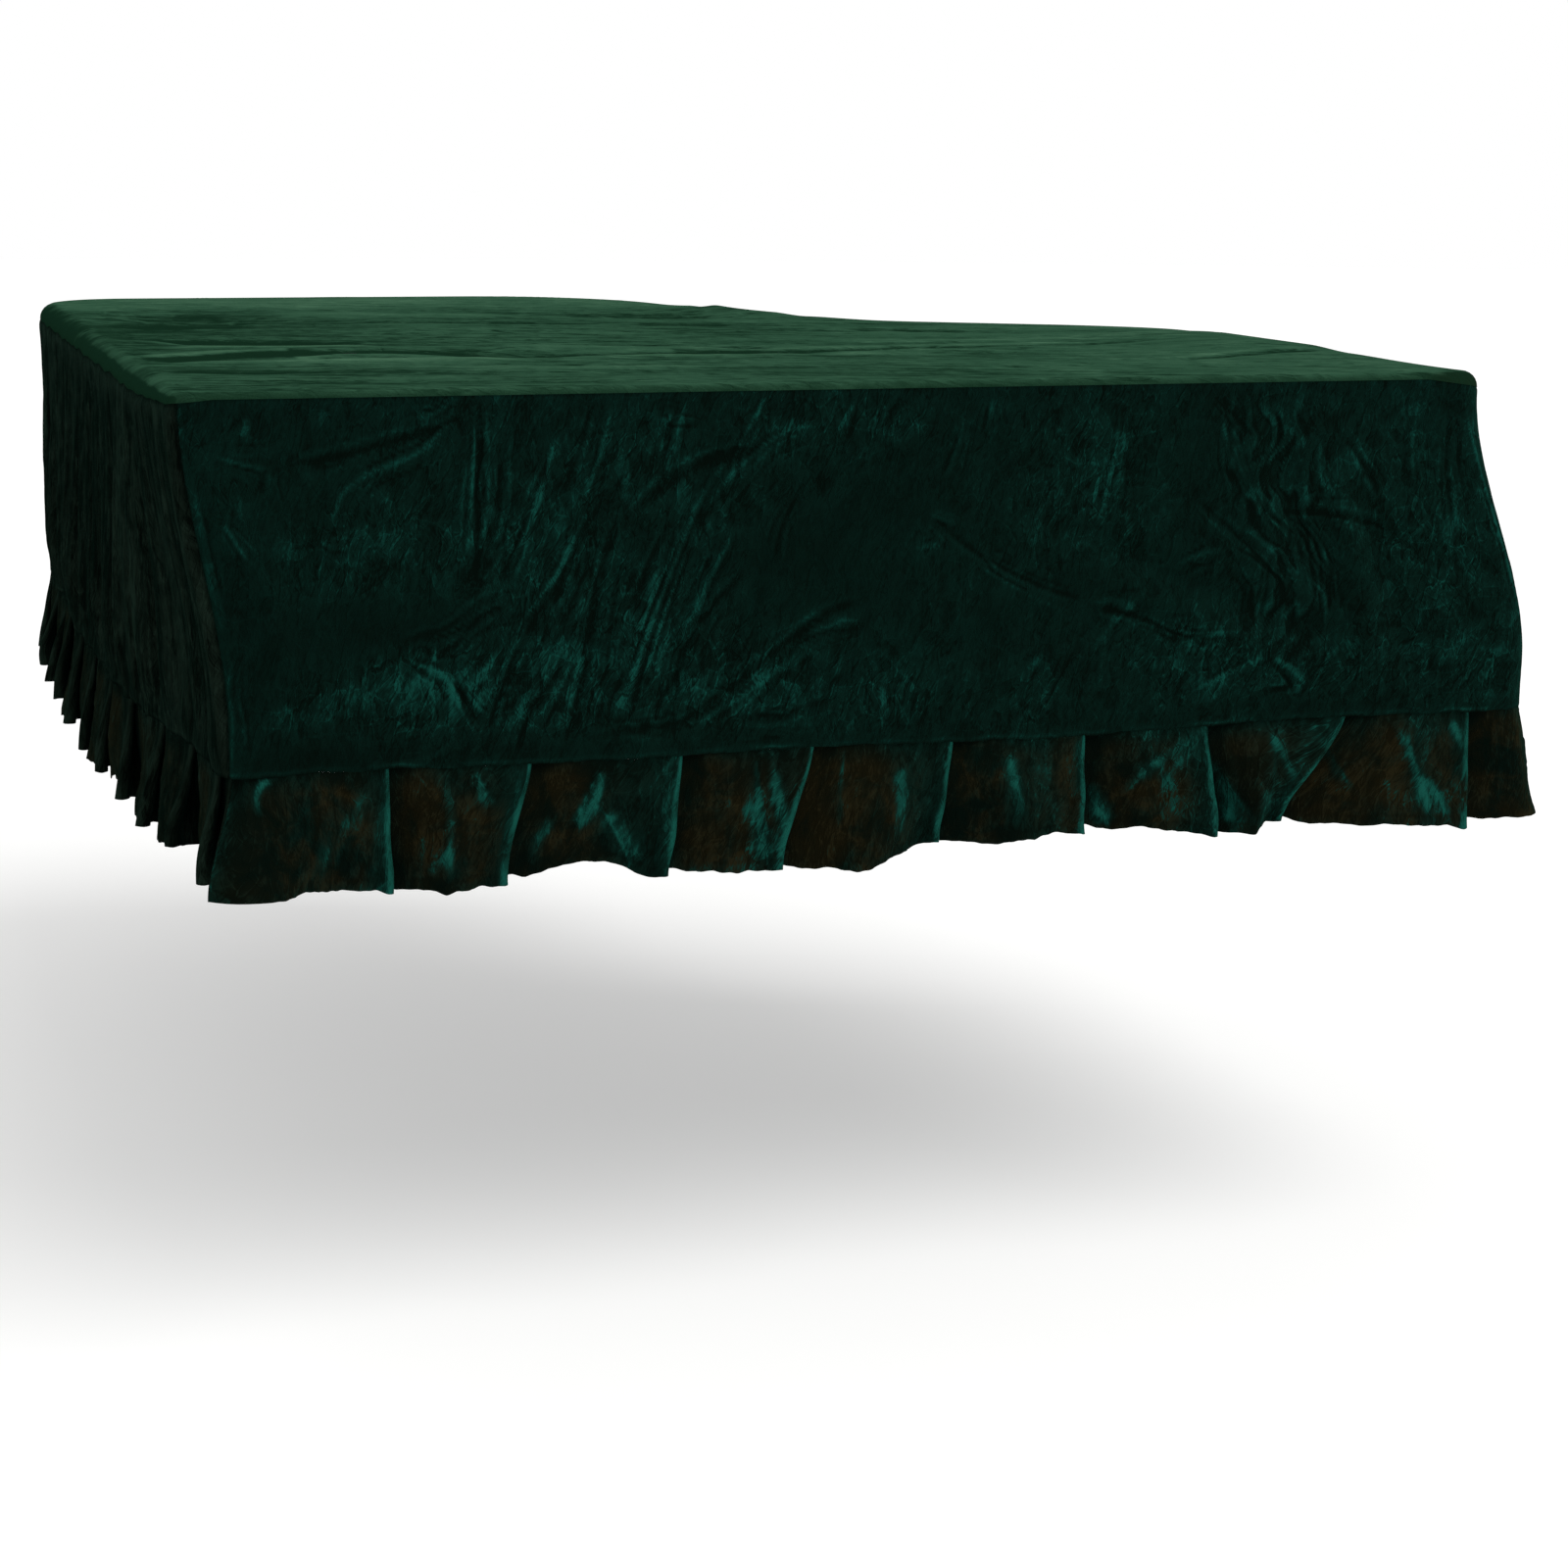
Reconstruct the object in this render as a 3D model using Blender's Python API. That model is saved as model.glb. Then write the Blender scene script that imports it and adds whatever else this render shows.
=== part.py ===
"""Fitted cover of crushed velvet for a grand piano.

A top panel cut to the piano's plan, three drops that hang from its rim and three
knife-pleated frills sewn to the drops. Plan positions count from the front left corner
of the top, x to the right along the keyboard side and y back to the tail. Metres, +Z up.
"""

import math
from collections import namedtuple

import bmesh
import bpy
import numpy as np
from mathutils import Vector
from mathutils.geometry import delaunay_2d_cdt

# Driving sizes
WIDTH = 1.515
LENGTH = 1.770
CLOTH = 0.002
SEWN_GAP = 0.0003
DROP_DEPTH = 0.400
FRILL_DEPTH = 0.120
TAIL_RISE = 0.0210
LAYER_PITCH = 0.0052
TUCK = 0.045
DROP_ROWS = 7
ROLL_STEPS = 2

# Share of the drop's depth at which its lean is complete, and how far the rim holds it flat
LEAN_DONE = 0.85
RIM_HOLD = 0.05

# The frill's seam takes this share off the drop's folds, over this depth above it
SEAM_HOLD = 0.74
SEAM_REACH = 0.09

# Rows of a frill, as shares of its depth
FRILL_ROWS = (0.0, 0.34, 0.68, 1.0)

# The origin is under the top panel, halfway across the keyboard side and the spine side.
SEAT_X = WIDTH / 2
SEAT_Y = LENGTH / 2

# Corners of the plan, each rounded by its radius
Corner = namedtuple("Corner", "name x y radius")
CORNERS = (
    Corner("front left", 0.000, 0.000, 0.030),
    Corner("front right", WIDTH, 0.000, 0.040),
    Corner("treble", WIDTH, 0.870, 0.280),
    Corner("waist", 1.030, 1.130, 0.420),
    Corner("tail right", 0.900, LENGTH, 0.300),
    Corner("tail left", -0.015, LENGTH, 0.140),
)

# Radius of the roll from the top to the drop, by distance round the rim
Roll = namedtuple("Roll", "along radius")
ROLLS = (
    Roll(0.00, 0.012),
    Roll(0.06, 0.006),
    Roll(1.45, 0.006),
    Roll(1.60, 0.014),
    Roll(2.90, 0.014),
    Roll(4.00, 0.018),
    Roll(4.50, 0.024),
    Roll(5.80, 0.022),
    Roll(6.02, 0.012),
)

# Places where the drops lean out of the plan, with how far they reach
Lean = namedtuple("Lean", "name x y reach_x reach_y move_x move_y")
LEANS = (
    Lean("front left corner", 0.00, 0.00, 0.14, 0.42, 0.040, 0.002),
    Lean("front right corner", 1.515, 0.00, 0.24, 0.34, 0.062, -0.034),
    Lean("treble side", 1.515, 0.70, 0.50, 0.30, 0.034, 0.004),
    Lean("spine middle", 0.00, 0.95, 0.30, 0.45, -0.014, 0.000),
    Lean("tail", 0.45, 1.77, 0.60, 0.30, 0.000, 0.022),
)

# Shallow troughs (negative) and ridges across the top, from one plan point to another
TopFold = namedtuple("TopFold", "x0 y0 x1 y1 height width")
TOP_FOLDS = (
    TopFold(0.02, 0.46, 0.50, 0.47, -0.0070, 0.030),
    TopFold(0.10, 0.75, 0.46, 0.62, -0.0060, 0.030),
    TopFold(0.46, 0.50, 1.20, 0.42, -0.0040, 0.035),
    TopFold(0.05, 0.57, 0.62, 0.56, 0.0050, 0.040),
    TopFold(0.06, 1.30, 0.34, 1.17, -0.0060, 0.045),
    TopFold(0.70, 1.24, 1.00, 1.15, -0.0050, 0.045),
    TopFold(0.30, 0.93, 1.05, 0.84, 0.0050, 0.060),
    TopFold(0.20, 0.22, 1.20, 0.20, 0.0030, 0.060),
    TopFold(0.92, 1.42, 1.03, 1.21, 0.0130, 0.085),
    TopFold(1.44, 0.30, 1.44, 0.74, 0.0080, 0.110),
)

# Creases of the drops: distance round the rim and depth below it at each end
Crease = namedtuple("Crease", "along0 down0 along1 down1 height width bow")
CREASES = (
    Crease(0.96, 0.26, 0.71, 0.38, -0.0080, 0.022, 0.010),
    Crease(0.93, 0.30, 0.72, 0.40, 0.0070, 0.022, 0.008),
    Crease(0.72, 0.08, 0.59, 0.15, -0.0060, 0.018, -0.008),
    Crease(0.58, 0.17, 0.52, 0.38, -0.0065, 0.017, 0.006),
    Crease(0.66, 0.14, 0.58, 0.37, -0.0065, 0.017, 0.006),
    Crease(0.50, 0.12, 0.42, 0.36, -0.0055, 0.018, 0.006),
    Crease(0.45, 0.03, 0.26, 0.16, -0.0055, 0.020, 0.018),
    Crease(0.43, 0.05, 0.22, 0.27, 0.0050, 0.024, 0.018),
    Crease(0.80, 0.16, 0.65, 0.38, 0.0055, 0.024, 0.006),
    Crease(0.98, 0.16, 1.29, 0.30, -0.0060, 0.020, -0.006),
    Crease(1.00, 0.20, 1.26, 0.32, 0.0055, 0.020, -0.006),
    Crease(1.25, 0.03, 1.30, 0.24, -0.0050, 0.018, 0.010),
    Crease(1.32, 0.10, 1.35, 0.36, 0.0060, 0.020, -0.006),
    Crease(1.35, 0.12, 1.40, 0.38, -0.0060, 0.018, 0.004),
    Crease(1.33, 0.16, 1.50, 0.24, -0.0050, 0.018, 0.004),
    Crease(0.06, 0.10, 0.12, 0.32, 0.0060, 0.026, 0.006),
)

# Gathers that run down the drops: where they start and end, their spacing and height
Gather = namedtuple("Gather", "name start end spacing height fade")
GATHERS = (
    Gather("treble side", 1.62, 2.60, 0.230, 0.0100, 0.10),
    Gather("bentside", 2.50, 3.50, 0.200, 0.0110, 0.12),
    Gather("tail", 3.40, 4.40, 0.170, 0.0110, 0.12),
    Gather("spine", 4.38, 5.98, 0.125, 0.0105, 0.10),
)

# Sewn places where one drop or frill meets the next, by distance round the rim
LEFT_SEAM = 0.0235
RIGHT_SEAM = 1.690

# Pleats of the front frill: the fold's place at the seam and its drift at the hem, how far
# the hem swings out at the fold, root and belly, and its lift at the fold and belly
Pleat = namedtuple("Pleat", "fold drift crest root belly lift belly_lift")
FRONT_PLEATS = (
    Pleat(0.225, -0.007, 0.042, 0.005, 0.036, 0.000, 0.000),
    Pleat(0.383, -0.040, 0.050, 0.008, 0.034, 0.004, -0.006),
    Pleat(0.551, -0.026, 0.050, 0.012, 0.012, -0.002, 0.019),
    Pleat(0.702, -0.050, 0.042, 0.010, 0.030, -0.002, -0.003),
    Pleat(0.867, -0.022, 0.026, 0.010, 0.046, 0.009, -0.006),
    Pleat(1.028, -0.014, 0.042, -0.010, 0.040, 0.008, 0.004),
    Pleat(1.175, -0.004, 0.046, 0.004, 0.022, -0.001, 0.009),
    Pleat(1.325, -0.086, 0.050, 0.000, 0.054, 0.010, 0.000),
    Pleat(1.455, -0.026, 0.040, -0.010, 0.034, -0.004, 0.000),
    Pleat(1.610, 0.000, 0.030, 0.000, 0.014, 0.000, 0.000),
)
PLEAT_SPACING = 0.158

# Swing of the hem where two frills meet
CORNER_SWING = {"left": 0.055, "right": 0.018, "tail": 0.022}

# Colours of the velvet, linear
VELVET_TOP = (0.022, 0.068, 0.040)
VELVET_DROP = (0.004, 0.016, 0.012)
VELVET_FRILL = (0.006, 0.014, 0.010)


def rounded_plan(step):
    """Points of the rounded plan, counter-clockwise seen from above, from the left corner."""
    points = []
    for k, corner in enumerate(CORNERS):
        before = CORNERS[k - 1]
        after = CORNERS[(k + 1) % len(CORNERS)]
        way_in = np.array([corner.x - before.x, corner.y - before.y])
        way_out = np.array([after.x - corner.x, after.y - corner.y])
        way_in /= np.linalg.norm(way_in)
        way_out /= np.linalg.norm(way_out)
        turn = math.atan2(way_in[0] * way_out[1] - way_in[1] * way_out[0], way_in @ way_out)
        side = math.copysign(1.0, turn)
        start = np.array([corner.x, corner.y]) - way_in * corner.radius * math.tan(abs(turn) / 2)
        centre = start + side * corner.radius * np.array([-way_in[1], way_in[0]])
        first = math.atan2(-side * way_in[0], side * way_in[1])
        count = max(4, round(abs(turn) * corner.radius / step))
        for i in range(count + 1):
            angle = first + turn * i / count
            points.append(centre + corner.radius * np.array([math.cos(angle), math.sin(angle)]))
    return np.array(points)


class Rim:
    """The top's rim as a closed line that gives the point and outward normal at a distance."""

    def __init__(self):
        corners = rounded_plan(0.003)
        closed = np.vstack([corners, corners[:1]])
        lengths = np.linalg.norm(np.diff(closed, axis=0), axis=1)
        self.along = np.concatenate([[0.0], np.cumsum(lengths)])
        self.points = closed
        self.length = self.along[-1]

    def at(self, along):
        around = np.mod(along, self.length)
        return np.stack([np.interp(around, self.along, self.points[:, k]) for k in (0, 1)], axis=-1)

    def normal(self, along):
        reach = 0.004
        way = self.at(np.asarray(along) + reach) - self.at(np.asarray(along) - reach)
        way /= np.linalg.norm(way, axis=-1, keepdims=True)
        return np.stack([way[..., 1], -way[..., 0]], axis=-1)


RIM = Rim()
TAIL_SEAM = RIM.length - LENGTH + CORNERS[5].radius * (1 - math.pi / 4) - 0.002


def smooth(value):
    clipped = np.clip(value, 0.0, 1.0)
    return clipped * clipped * (3 - 2 * clipped)


def line_bump(x, y, x0, y0, x1, y1, width, bow=0.0):
    """1 on the line between two points, soft across it and towards its ends."""
    length = math.hypot(x1 - x0, y1 - y0)
    way_x = (x1 - x0) / length
    way_y = (y1 - y0) / length
    part = ((x - x0) * way_x + (y - y0) * way_y) / length
    inside = np.clip(part, 0.0, 1.0)
    across = (y - y0) * way_x - (x - x0) * way_y - bow * 4 * inside * (1 - inside)
    past = (part - inside) * length
    ends = 0.35 + 0.65 * smooth(np.minimum(inside, 1 - inside) * 4)
    return ends * np.exp(-(across**2 + past**2) / width**2)


def top_height(x, y):
    """Height of the top's middle surface over the plan."""
    height = TAIL_RISE * np.clip(y / LENGTH, 0.0, 1.2) ** 1.3
    for fold in TOP_FOLDS:
        height = height + fold.height * line_bump(x, y, *fold[:4], fold.width)
    return height


SEAT_HEIGHT = float(top_height(np.array(SEAT_X), np.array(SEAT_Y))) - CLOTH / 2


def rolled(along):
    """Radius of the roll at the rim."""
    return np.interp(np.mod(along, RIM.length), [r.along for r in ROLLS], [r.radius for r in ROLLS])


def rim_top(along):
    """Height of the top where its roll begins."""
    point = RIM.at(along) - RIM.normal(along) * rolled(along)[..., None]
    return top_height(point[..., 0], point[..., 1]) - SEAT_HEIGHT


def drop_start(along):
    return rim_top(along) - rolled(along)


def frill_seam(along):
    """Height of the seam between drop and frill."""
    sway = 0.004 * np.sin(along * 4.1 + 0.6) + 0.002 * np.sin(along * 11.0)
    return -SEAT_HEIGHT - DROP_DEPTH + 0.004 * smooth(along / 1.5) + sway


def hem_height(along):
    sway = 0.003 * np.sin(along * 6.3 + 1.0) + 0.002 * np.sin(along * 15.0)
    return -SEAT_HEIGHT - DROP_DEPTH - FRILL_DEPTH + sway


def leaning(point, share):
    """How far the drops' leans move a plan point, at a share of their full depth."""
    x = point[..., 0]
    y = point[..., 1]
    moved = np.zeros_like(point)
    for lean in LEANS:
        near = np.exp(-(((x - lean.x) / lean.reach_x) ** 2) - ((y - lean.y) / lean.reach_y) ** 2)
        moved += (near * share)[..., None] * np.array([lean.move_x, lean.move_y])
    return moved


def gathers(along, down):
    """Waves that run down the drops, uneven in spacing and deeper towards the frill."""
    total = np.zeros(np.broadcast(along, down).shape)
    around = np.mod(along, RIM.length)
    for gather in GATHERS:
        inside = smooth((around - gather.start) / gather.fade)
        inside = inside * smooth((gather.end - around) / gather.fade)
        phase = 2 * math.pi * (around - gather.start) / gather.spacing
        phase = phase + 0.9 * np.sin(phase * 0.31) + 0.25 * np.sin(down * 9.0 + phase * 0.5)
        wave = np.sin(phase) + 0.35 * np.sin(2.3 * phase + 1.0)
        total = total + gather.height * inside * wave * (0.15 + 0.85 * smooth(down / DROP_DEPTH))
    return total


def creases(along, down):
    """Troughs and ridges that cross the drops at a slant."""
    total = np.zeros(np.broadcast(along, down).shape)
    for crease in CREASES:
        total = total + crease.height * line_bump(along, down, *crease[:4], crease.width, crease.bow)
    return total


def held_by_seam(down):
    """The frill's seam holds the drop flatter than it hangs above."""
    return 1 - SEAM_HOLD * smooth((down - DROP_DEPTH + SEAM_REACH) / SEAM_REACH)


def drop_point(along, share):
    """Middle surface of a drop: share is 0 at the rim and 1 at the frill's seam."""
    top = drop_start(along) - SEWN_GAP
    bottom = frill_seam(along)
    height = top + (bottom - top) * share
    down = share * DROP_DEPTH
    rim = RIM.at(along)
    near_rim = smooth(down / RIM_HOLD)
    fold = (gathers(along, down) + creases(along, down)) * near_rim * held_by_seam(down)
    plan = rim + leaning(rim, smooth(share / LEAN_DONE)) + RIM.normal(along) * fold[..., None]
    return in_place(plan, height)


def frill_point(along, share, swing, lift):
    """Middle surface of a frill: share is 0 at its seam and 1 at the hem."""
    top = frill_seam(along) - SEWN_GAP
    height = top + (hem_height(along) + lift - top) * share
    rim = RIM.at(along)
    fold = (gathers(along, DROP_DEPTH) + creases(along, DROP_DEPTH)) * held_by_seam(DROP_DEPTH)
    fold = fold * (1 - 0.5 * share)
    flare = leaning(rim, 1.0 + 0.2 * share)
    plan = rim + flare + RIM.normal(along) * (fold + swing)[..., None]
    return in_place(plan, height)


def in_place(plan, height):
    """Points in the cover's own frame, from plan points and heights."""
    return np.stack([plan[..., 0] - SEAT_X, plan[..., 1] - SEAT_Y, height], axis=-1)


def surface_normals(grid, level_rows, radial_ends):
    """Unit normals of a grid of points. Sewn rows and ends keep level normals."""
    down = np.gradient(grid, axis=0)
    across = np.gradient(grid, axis=1)
    normals = np.cross(across, -down)
    for row in level_rows:
        normals[row, :, 2] = 0.0
    for column, normal in radial_ends.items():
        normals[:, column, :2] = normal
        normals[:, column, 2] = 0.0
    return normals / np.linalg.norm(normals, axis=2, keepdims=True)


def velvet(name, colour):
    material = bpy.data.materials.new(name)
    material.use_nodes = True
    shader = material.node_tree.nodes["Principled BSDF"]
    shader.inputs["Base Color"].default_value = (*colour, 1.0)
    shader.inputs["Roughness"].default_value = 0.85
    shader.inputs["Metallic"].default_value = 0.0
    shader.inputs["Sheen Weight"].default_value = 0.8
    return material


def solid(name, points, faces, material):
    """One closed solid from points and faces, shaded smooth."""
    mesh = bpy.data.meshes.new(name)
    mesh.from_pydata([Vector(point) for point in points], [], faces)
    body = bmesh.new()
    body.from_mesh(mesh)
    bmesh.ops.recalc_face_normals(body, faces=body.faces)
    body.to_mesh(mesh)
    body.free()
    mesh.shade_smooth()
    mesh.set_sharp_from_angle(angle=math.radians(50))
    mesh.materials.append(material)
    thing = bpy.data.objects.new(name, mesh)
    bpy.context.collection.objects.link(thing)
    return thing


def two_skins(a, b, c, d, behind):
    """Triangles of one patch on the cloth's outside, and the same ones on its inside."""
    outside = [(a, b, c), (a, c, d)]
    return outside + [tuple(corner + behind for corner in reversed(face)) for face in outside]


def hung_sheet(name, grid, normals, material):
    """A sheet of the cloth's thickness round a grid of middle points."""
    rows, columns = grid.shape[:2]
    outer = grid + normals * CLOTH / 2
    inner = grid - normals * CLOTH / 2
    points = np.vstack([outer.reshape(-1, 3), inner.reshape(-1, 3)])
    behind = rows * columns

    def index(row, column, side):
        return side * behind + row * columns + column

    faces = []
    for row in range(rows - 1):
        for column in range(columns - 1):
            a = index(row, column, 0)
            b = index(row + 1, column, 0)
            c = index(row + 1, column + 1, 0)
            d = index(row, column + 1, 0)
            faces += two_skins(a, b, c, d, behind)
    for row in range(rows - 1):
        for column in (0, columns - 1):
            a = index(row, column, 0)
            b = index(row + 1, column, 0)
            faces.append((a, a + behind, b + behind, b) if column == 0 else (a, b, b + behind, a + behind))
    for column in range(columns - 1):
        for row in (0, rows - 1):
            a = index(row, column, 0)
            b = index(row, column + 1, 0)
            faces.append((a, b, b + behind, a + behind) if row == 0 else (a, a + behind, b + behind, b))
    return solid(name, points, faces, material)


def spread(stations):
    """Distances along the rim: for each stretch, its end and the greatest step in it."""
    places = [stations[0][0]]
    for (start, _), (end, step) in zip(stations, stations[1:]):
        count = max(1, math.ceil((end - start) / step))
        places.extend(start + (end - start) * i / count for i in range(1, count + 1))
    return np.array(places)


def add_drop(name, places, material, rows=DROP_ROWS):
    """A drop between two seams, with one column for each place along the rim."""
    along = places.copy()
    along[0] += SEWN_GAP / 2
    along[-1] -= SEWN_GAP / 2
    share = np.linspace(0.0, 1.0, rows + 1)
    grid = drop_point(along[None, :].repeat(rows + 1, axis=0), share[:, None].repeat(len(along), axis=1))
    ends = {0: RIM.normal(along[0]), len(along) - 1: RIM.normal(along[-1])}
    normals = surface_normals(grid, (0, rows), ends)
    return hung_sheet(name, grid, normals, material)


def pleat_columns(before, pleat, start):
    """Columns of one pleat: place and swing at the seam, then place, swing and lift at the hem.

    The cloth comes from the root under the fold before it, runs to its own fold, and
    turns back behind itself as far as the tuck.
    """
    a = before.fold
    b = pleat.fold
    span = b - a
    half = LAYER_PITCH / 2
    root = a + before.drift + 0.012
    fold = b + pleat.drift
    width = fold - root
    low = 0.5 * (before.root + pleat.belly)
    rise = 0.5 * (pleat.belly_lift + pleat.lift)
    shoulder = min(0.020, 0.22 * width)
    side = 0.6 * pleat.belly + 0.2 * pleat.crest
    columns = [] if start else tuck_columns(before)
    columns += [
        (a + 0.006, -1.95 * LAYER_PITCH, root, before.root + 0.002, before.lift),
        (a + 0.20 * span, -LAYER_PITCH, root + 0.24 * width, low, 0.5 * pleat.belly_lift),
        (a + 0.45 * span, -0.3 * LAYER_PITCH, root + 0.46 * width, pleat.belly, pleat.belly_lift),
        (a + 0.70 * span, 0.0, root + 0.68 * width, side, rise),
        (b - 0.014, 0.0, fold - shoulder, pleat.crest - 0.010, pleat.lift),
        (b - half, 0.0, fold - 0.35 * shoulder, pleat.crest, pleat.lift),
        (b, -half, fold, pleat.crest - 0.007, pleat.lift),
        (b - half, -LAYER_PITCH, fold - 0.004, pleat.crest - 0.015, pleat.lift),
        (b - TUCK, -LAYER_PITCH, fold - 0.020, 0.4 * pleat.crest + 0.6 * pleat.root - 0.004, pleat.lift),
    ]
    return columns


def tuck_columns(pleat):
    """Columns of the inner fold behind a pleat, where its cloth turns towards the next."""
    fold = pleat.fold + pleat.drift
    back = pleat.fold - TUCK
    return [
        (back - LAYER_PITCH / 2, -1.5 * LAYER_PITCH, fold - 0.026, pleat.root - 0.005, pleat.lift),
        (back, -2 * LAYER_PITCH, fold - 0.018, pleat.root - 0.010, pleat.lift),
    ]


def frill_columns(first, last, pleats, swing_first, swing_last):
    """Columns of a whole frill from its first seam to its last."""
    before = Pleat(first, 0.0, swing_first, swing_first, swing_first, 0.0, 0.0)
    columns = [(first, -LAYER_PITCH, first, swing_first, 0.0)]
    for k, pleat in enumerate(pleats):
        columns += pleat_columns(before, pleat, k == 0)
        before = pleat
    columns += tuck_columns(before)
    fold = before.fold + before.drift
    columns.append((before.fold + 0.004, -1.9 * LAYER_PITCH, fold + 0.012, before.root, before.lift))
    columns.append((last, -LAYER_PITCH, last, swing_last, 0.0))
    return np.array(columns)


def plain_pleats(first, last, crest, belly):
    """Evenly set pleats with uneven swings between two seams."""
    count = round((last - first) / PLEAT_SPACING)
    spacing = (last - first) / count
    pleats = []
    for k in range(1, count + 1):
        turn = first + 2.4 * k
        pleats.append(
            Pleat(
                fold=first + spacing * k - 0.030 + 0.006 * math.sin(3.1 * turn),
                drift=-0.010 + 0.014 * math.sin(1.7 * turn),
                crest=crest * (1 + 0.2 * math.sin(2.3 * turn)),
                root=0.006 * math.sin(1.3 * turn),
                belly=belly * (1 + 0.35 * math.sin(0.9 * turn + 1.0)),
                lift=0.004 * math.sin(2.9 * turn),
                belly_lift=0.005 * math.sin(1.9 * turn),
            )
        )
    return pleats


def opened(share):
    """How far a pleat has opened at a share of the frill's depth."""
    return smooth(0.08 + 0.92 * share) * 0.75 + 0.25 * share - smooth(0.08) * 0.75 * (1 - share)


def add_frill(name, first, last, pleats, swings, material):
    columns = frill_columns(first + SEWN_GAP / 2, last - SEWN_GAP / 2, pleats, *swings)
    share = np.array(FRILL_ROWS)[:, None]
    open_share = opened(share)
    along = columns[:, 0] + (columns[:, 2] - columns[:, 0]) * open_share
    swing = columns[:, 1] + (columns[:, 3] - columns[:, 1]) * open_share
    lift = columns[:, 4] + 0.0 * share
    grid = frill_point(along, share + 0.0 * along, swing, lift)
    ends = {0: RIM.normal(along[0, 0]), len(columns) - 1: RIM.normal(along[0, -1])}
    normals = surface_normals(grid, (0,), ends)
    return hung_sheet(name, grid, normals, material)


def add_top(name, material, along, inner_step):
    """The top panel: a filled plan whose rim rolls down to the drops, with their columns."""
    count = len(along)
    normal = RIM.normal(along)
    radius = rolled(along)
    start = rim_top(along)
    rings = []
    ring_normals = []
    for k in range(ROLL_STEPS, -1, -1):
        angle = math.pi / 2 * k / ROLL_STEPS
        inset = (radius * (1 - math.sin(angle)))[:, None]
        plan = RIM.at(along) - normal * inset
        height = start - radius * (1 - math.cos(angle))
        rings.append(in_place(plan, height))
        level = math.sin(angle)
        ring_normals.append(np.column_stack([normal * level, np.full(count, math.cos(angle))]))
    inner_ring = rings[-1]
    inside = inner_points(inner_ring[:, :2], inner_step)
    flat = np.vstack([inner_ring[:, :2], inside])
    loop = [(k, (k + 1) % count) for k in range(count)]
    whole = [list(range(count))]
    placed, _, triangles, *_ = delaunay_2d_cdt([Vector(p) for p in flat], loop, whole, 1, 1e-7)
    placed = np.array([tuple(p) for p in placed])
    heights = top_height(placed[:, 0] + SEAT_X, placed[:, 1] + SEAT_Y) - SEAT_HEIGHT
    heights[:count] = inner_ring[:, 2]
    filled = np.column_stack([placed, heights])
    filled_normals = np.zeros_like(filled)
    filled_normals[:, 2] = 1.0
    middle = np.vstack(rings[:-1] + [filled])
    normals = np.vstack(ring_normals[:-1] + [filled_normals])
    upper = middle + normals * CLOTH / 2
    lower = middle - normals * CLOTH / 2
    base = ROLL_STEPS * count
    behind = len(middle)
    faces = []
    for triangle in triangles:
        corners = [base + corner for corner in triangle]
        faces.append(tuple(corners))
        faces.append(tuple(corner + behind for corner in reversed(corners)))
    for ring in range(ROLL_STEPS):
        for k in range(count):
            after = (k + 1) % count
            outer = (ring * count + k, ring * count + after)
            inner = ((ring + 1) * count + k, (ring + 1) * count + after)
            faces += two_skins(outer[0], outer[1], inner[1], inner[0], behind)
    for k in range(count):
        after = (k + 1) % count
        faces.append((k, k + behind, after + behind, after))
    return solid(name, np.vstack([upper, lower]), faces, material)


def inner_points(ring, step):
    """Points in rows across the plan, kept off the ring."""
    low = ring.min(axis=0)
    high = ring.max(axis=0)
    points = []
    rows = np.arange(low[1] + step[1] * 0.7, high[1] - step[1] * 0.4, step[1])
    ends = np.roll(ring, -1, axis=0)
    for k, y in enumerate(rows):
        crossing = (ring[:, 1] > y) != (ends[:, 1] > y)
        part = (y - ring[crossing, 1]) / (ends[crossing, 1] - ring[crossing, 1])
        xs = np.sort(ring[crossing, 0] + part * (ends[crossing, 0] - ring[crossing, 0]))
        margin = min(step) * 0.5
        shift = step[0] * (0.5 if k % 2 else 0.0)
        for x in np.arange(low[0] + shift, high[0], step[0]):
            if xs[0] + margin < x < xs[-1] - margin:
                points.append((x, y))
    return np.array(points)


def clear_scene():
    for thing in list(bpy.data.objects):
        bpy.data.objects.remove(thing, do_unlink=True)


def main():
    clear_scene()
    end = RIM.length + LEFT_SEAM
    front = spread(((LEFT_SEAM, 1), (0.05, 0.014), (1.49, 0.029), (1.57, 0.021), (RIGHT_SEAM, 0.040)))
    bend = spread(((RIGHT_SEAM, 1), (TAIL_SEAM, 0.064)))
    left = spread(((TAIL_SEAM, 1), (4.50, 0.040), (RIM.length, 0.036), (end, 0.014)))
    rim = np.concatenate([front[:-1], bend[:-1], left[:-1]])
    add_top("top_panel", velvet("velvet_top", VELVET_TOP), rim, (0.120, 0.050))
    drop = velvet("velvet_drop", VELVET_DROP)
    add_drop("front_drop", front, drop)
    add_drop("bentside_drop", bend, drop)
    add_drop("left_drop", left, drop)
    frill = velvet("velvet_frill", VELVET_FRILL)
    swing = CORNER_SWING
    add_frill("front_frill", LEFT_SEAM, RIGHT_SEAM, FRONT_PLEATS, (swing["left"], swing["right"]), frill)
    bend_pleats = plain_pleats(RIGHT_SEAM, TAIL_SEAM, 0.044, 0.028)
    add_frill("bentside_frill", RIGHT_SEAM, TAIL_SEAM, bend_pleats, (swing["right"], swing["tail"]), frill)
    left_pleats = plain_pleats(TAIL_SEAM, end, 0.028, 0.014)
    add_frill("left_frill", TAIL_SEAM, end, left_pleats, (swing["tail"], swing["left"]), frill)


main()
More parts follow.
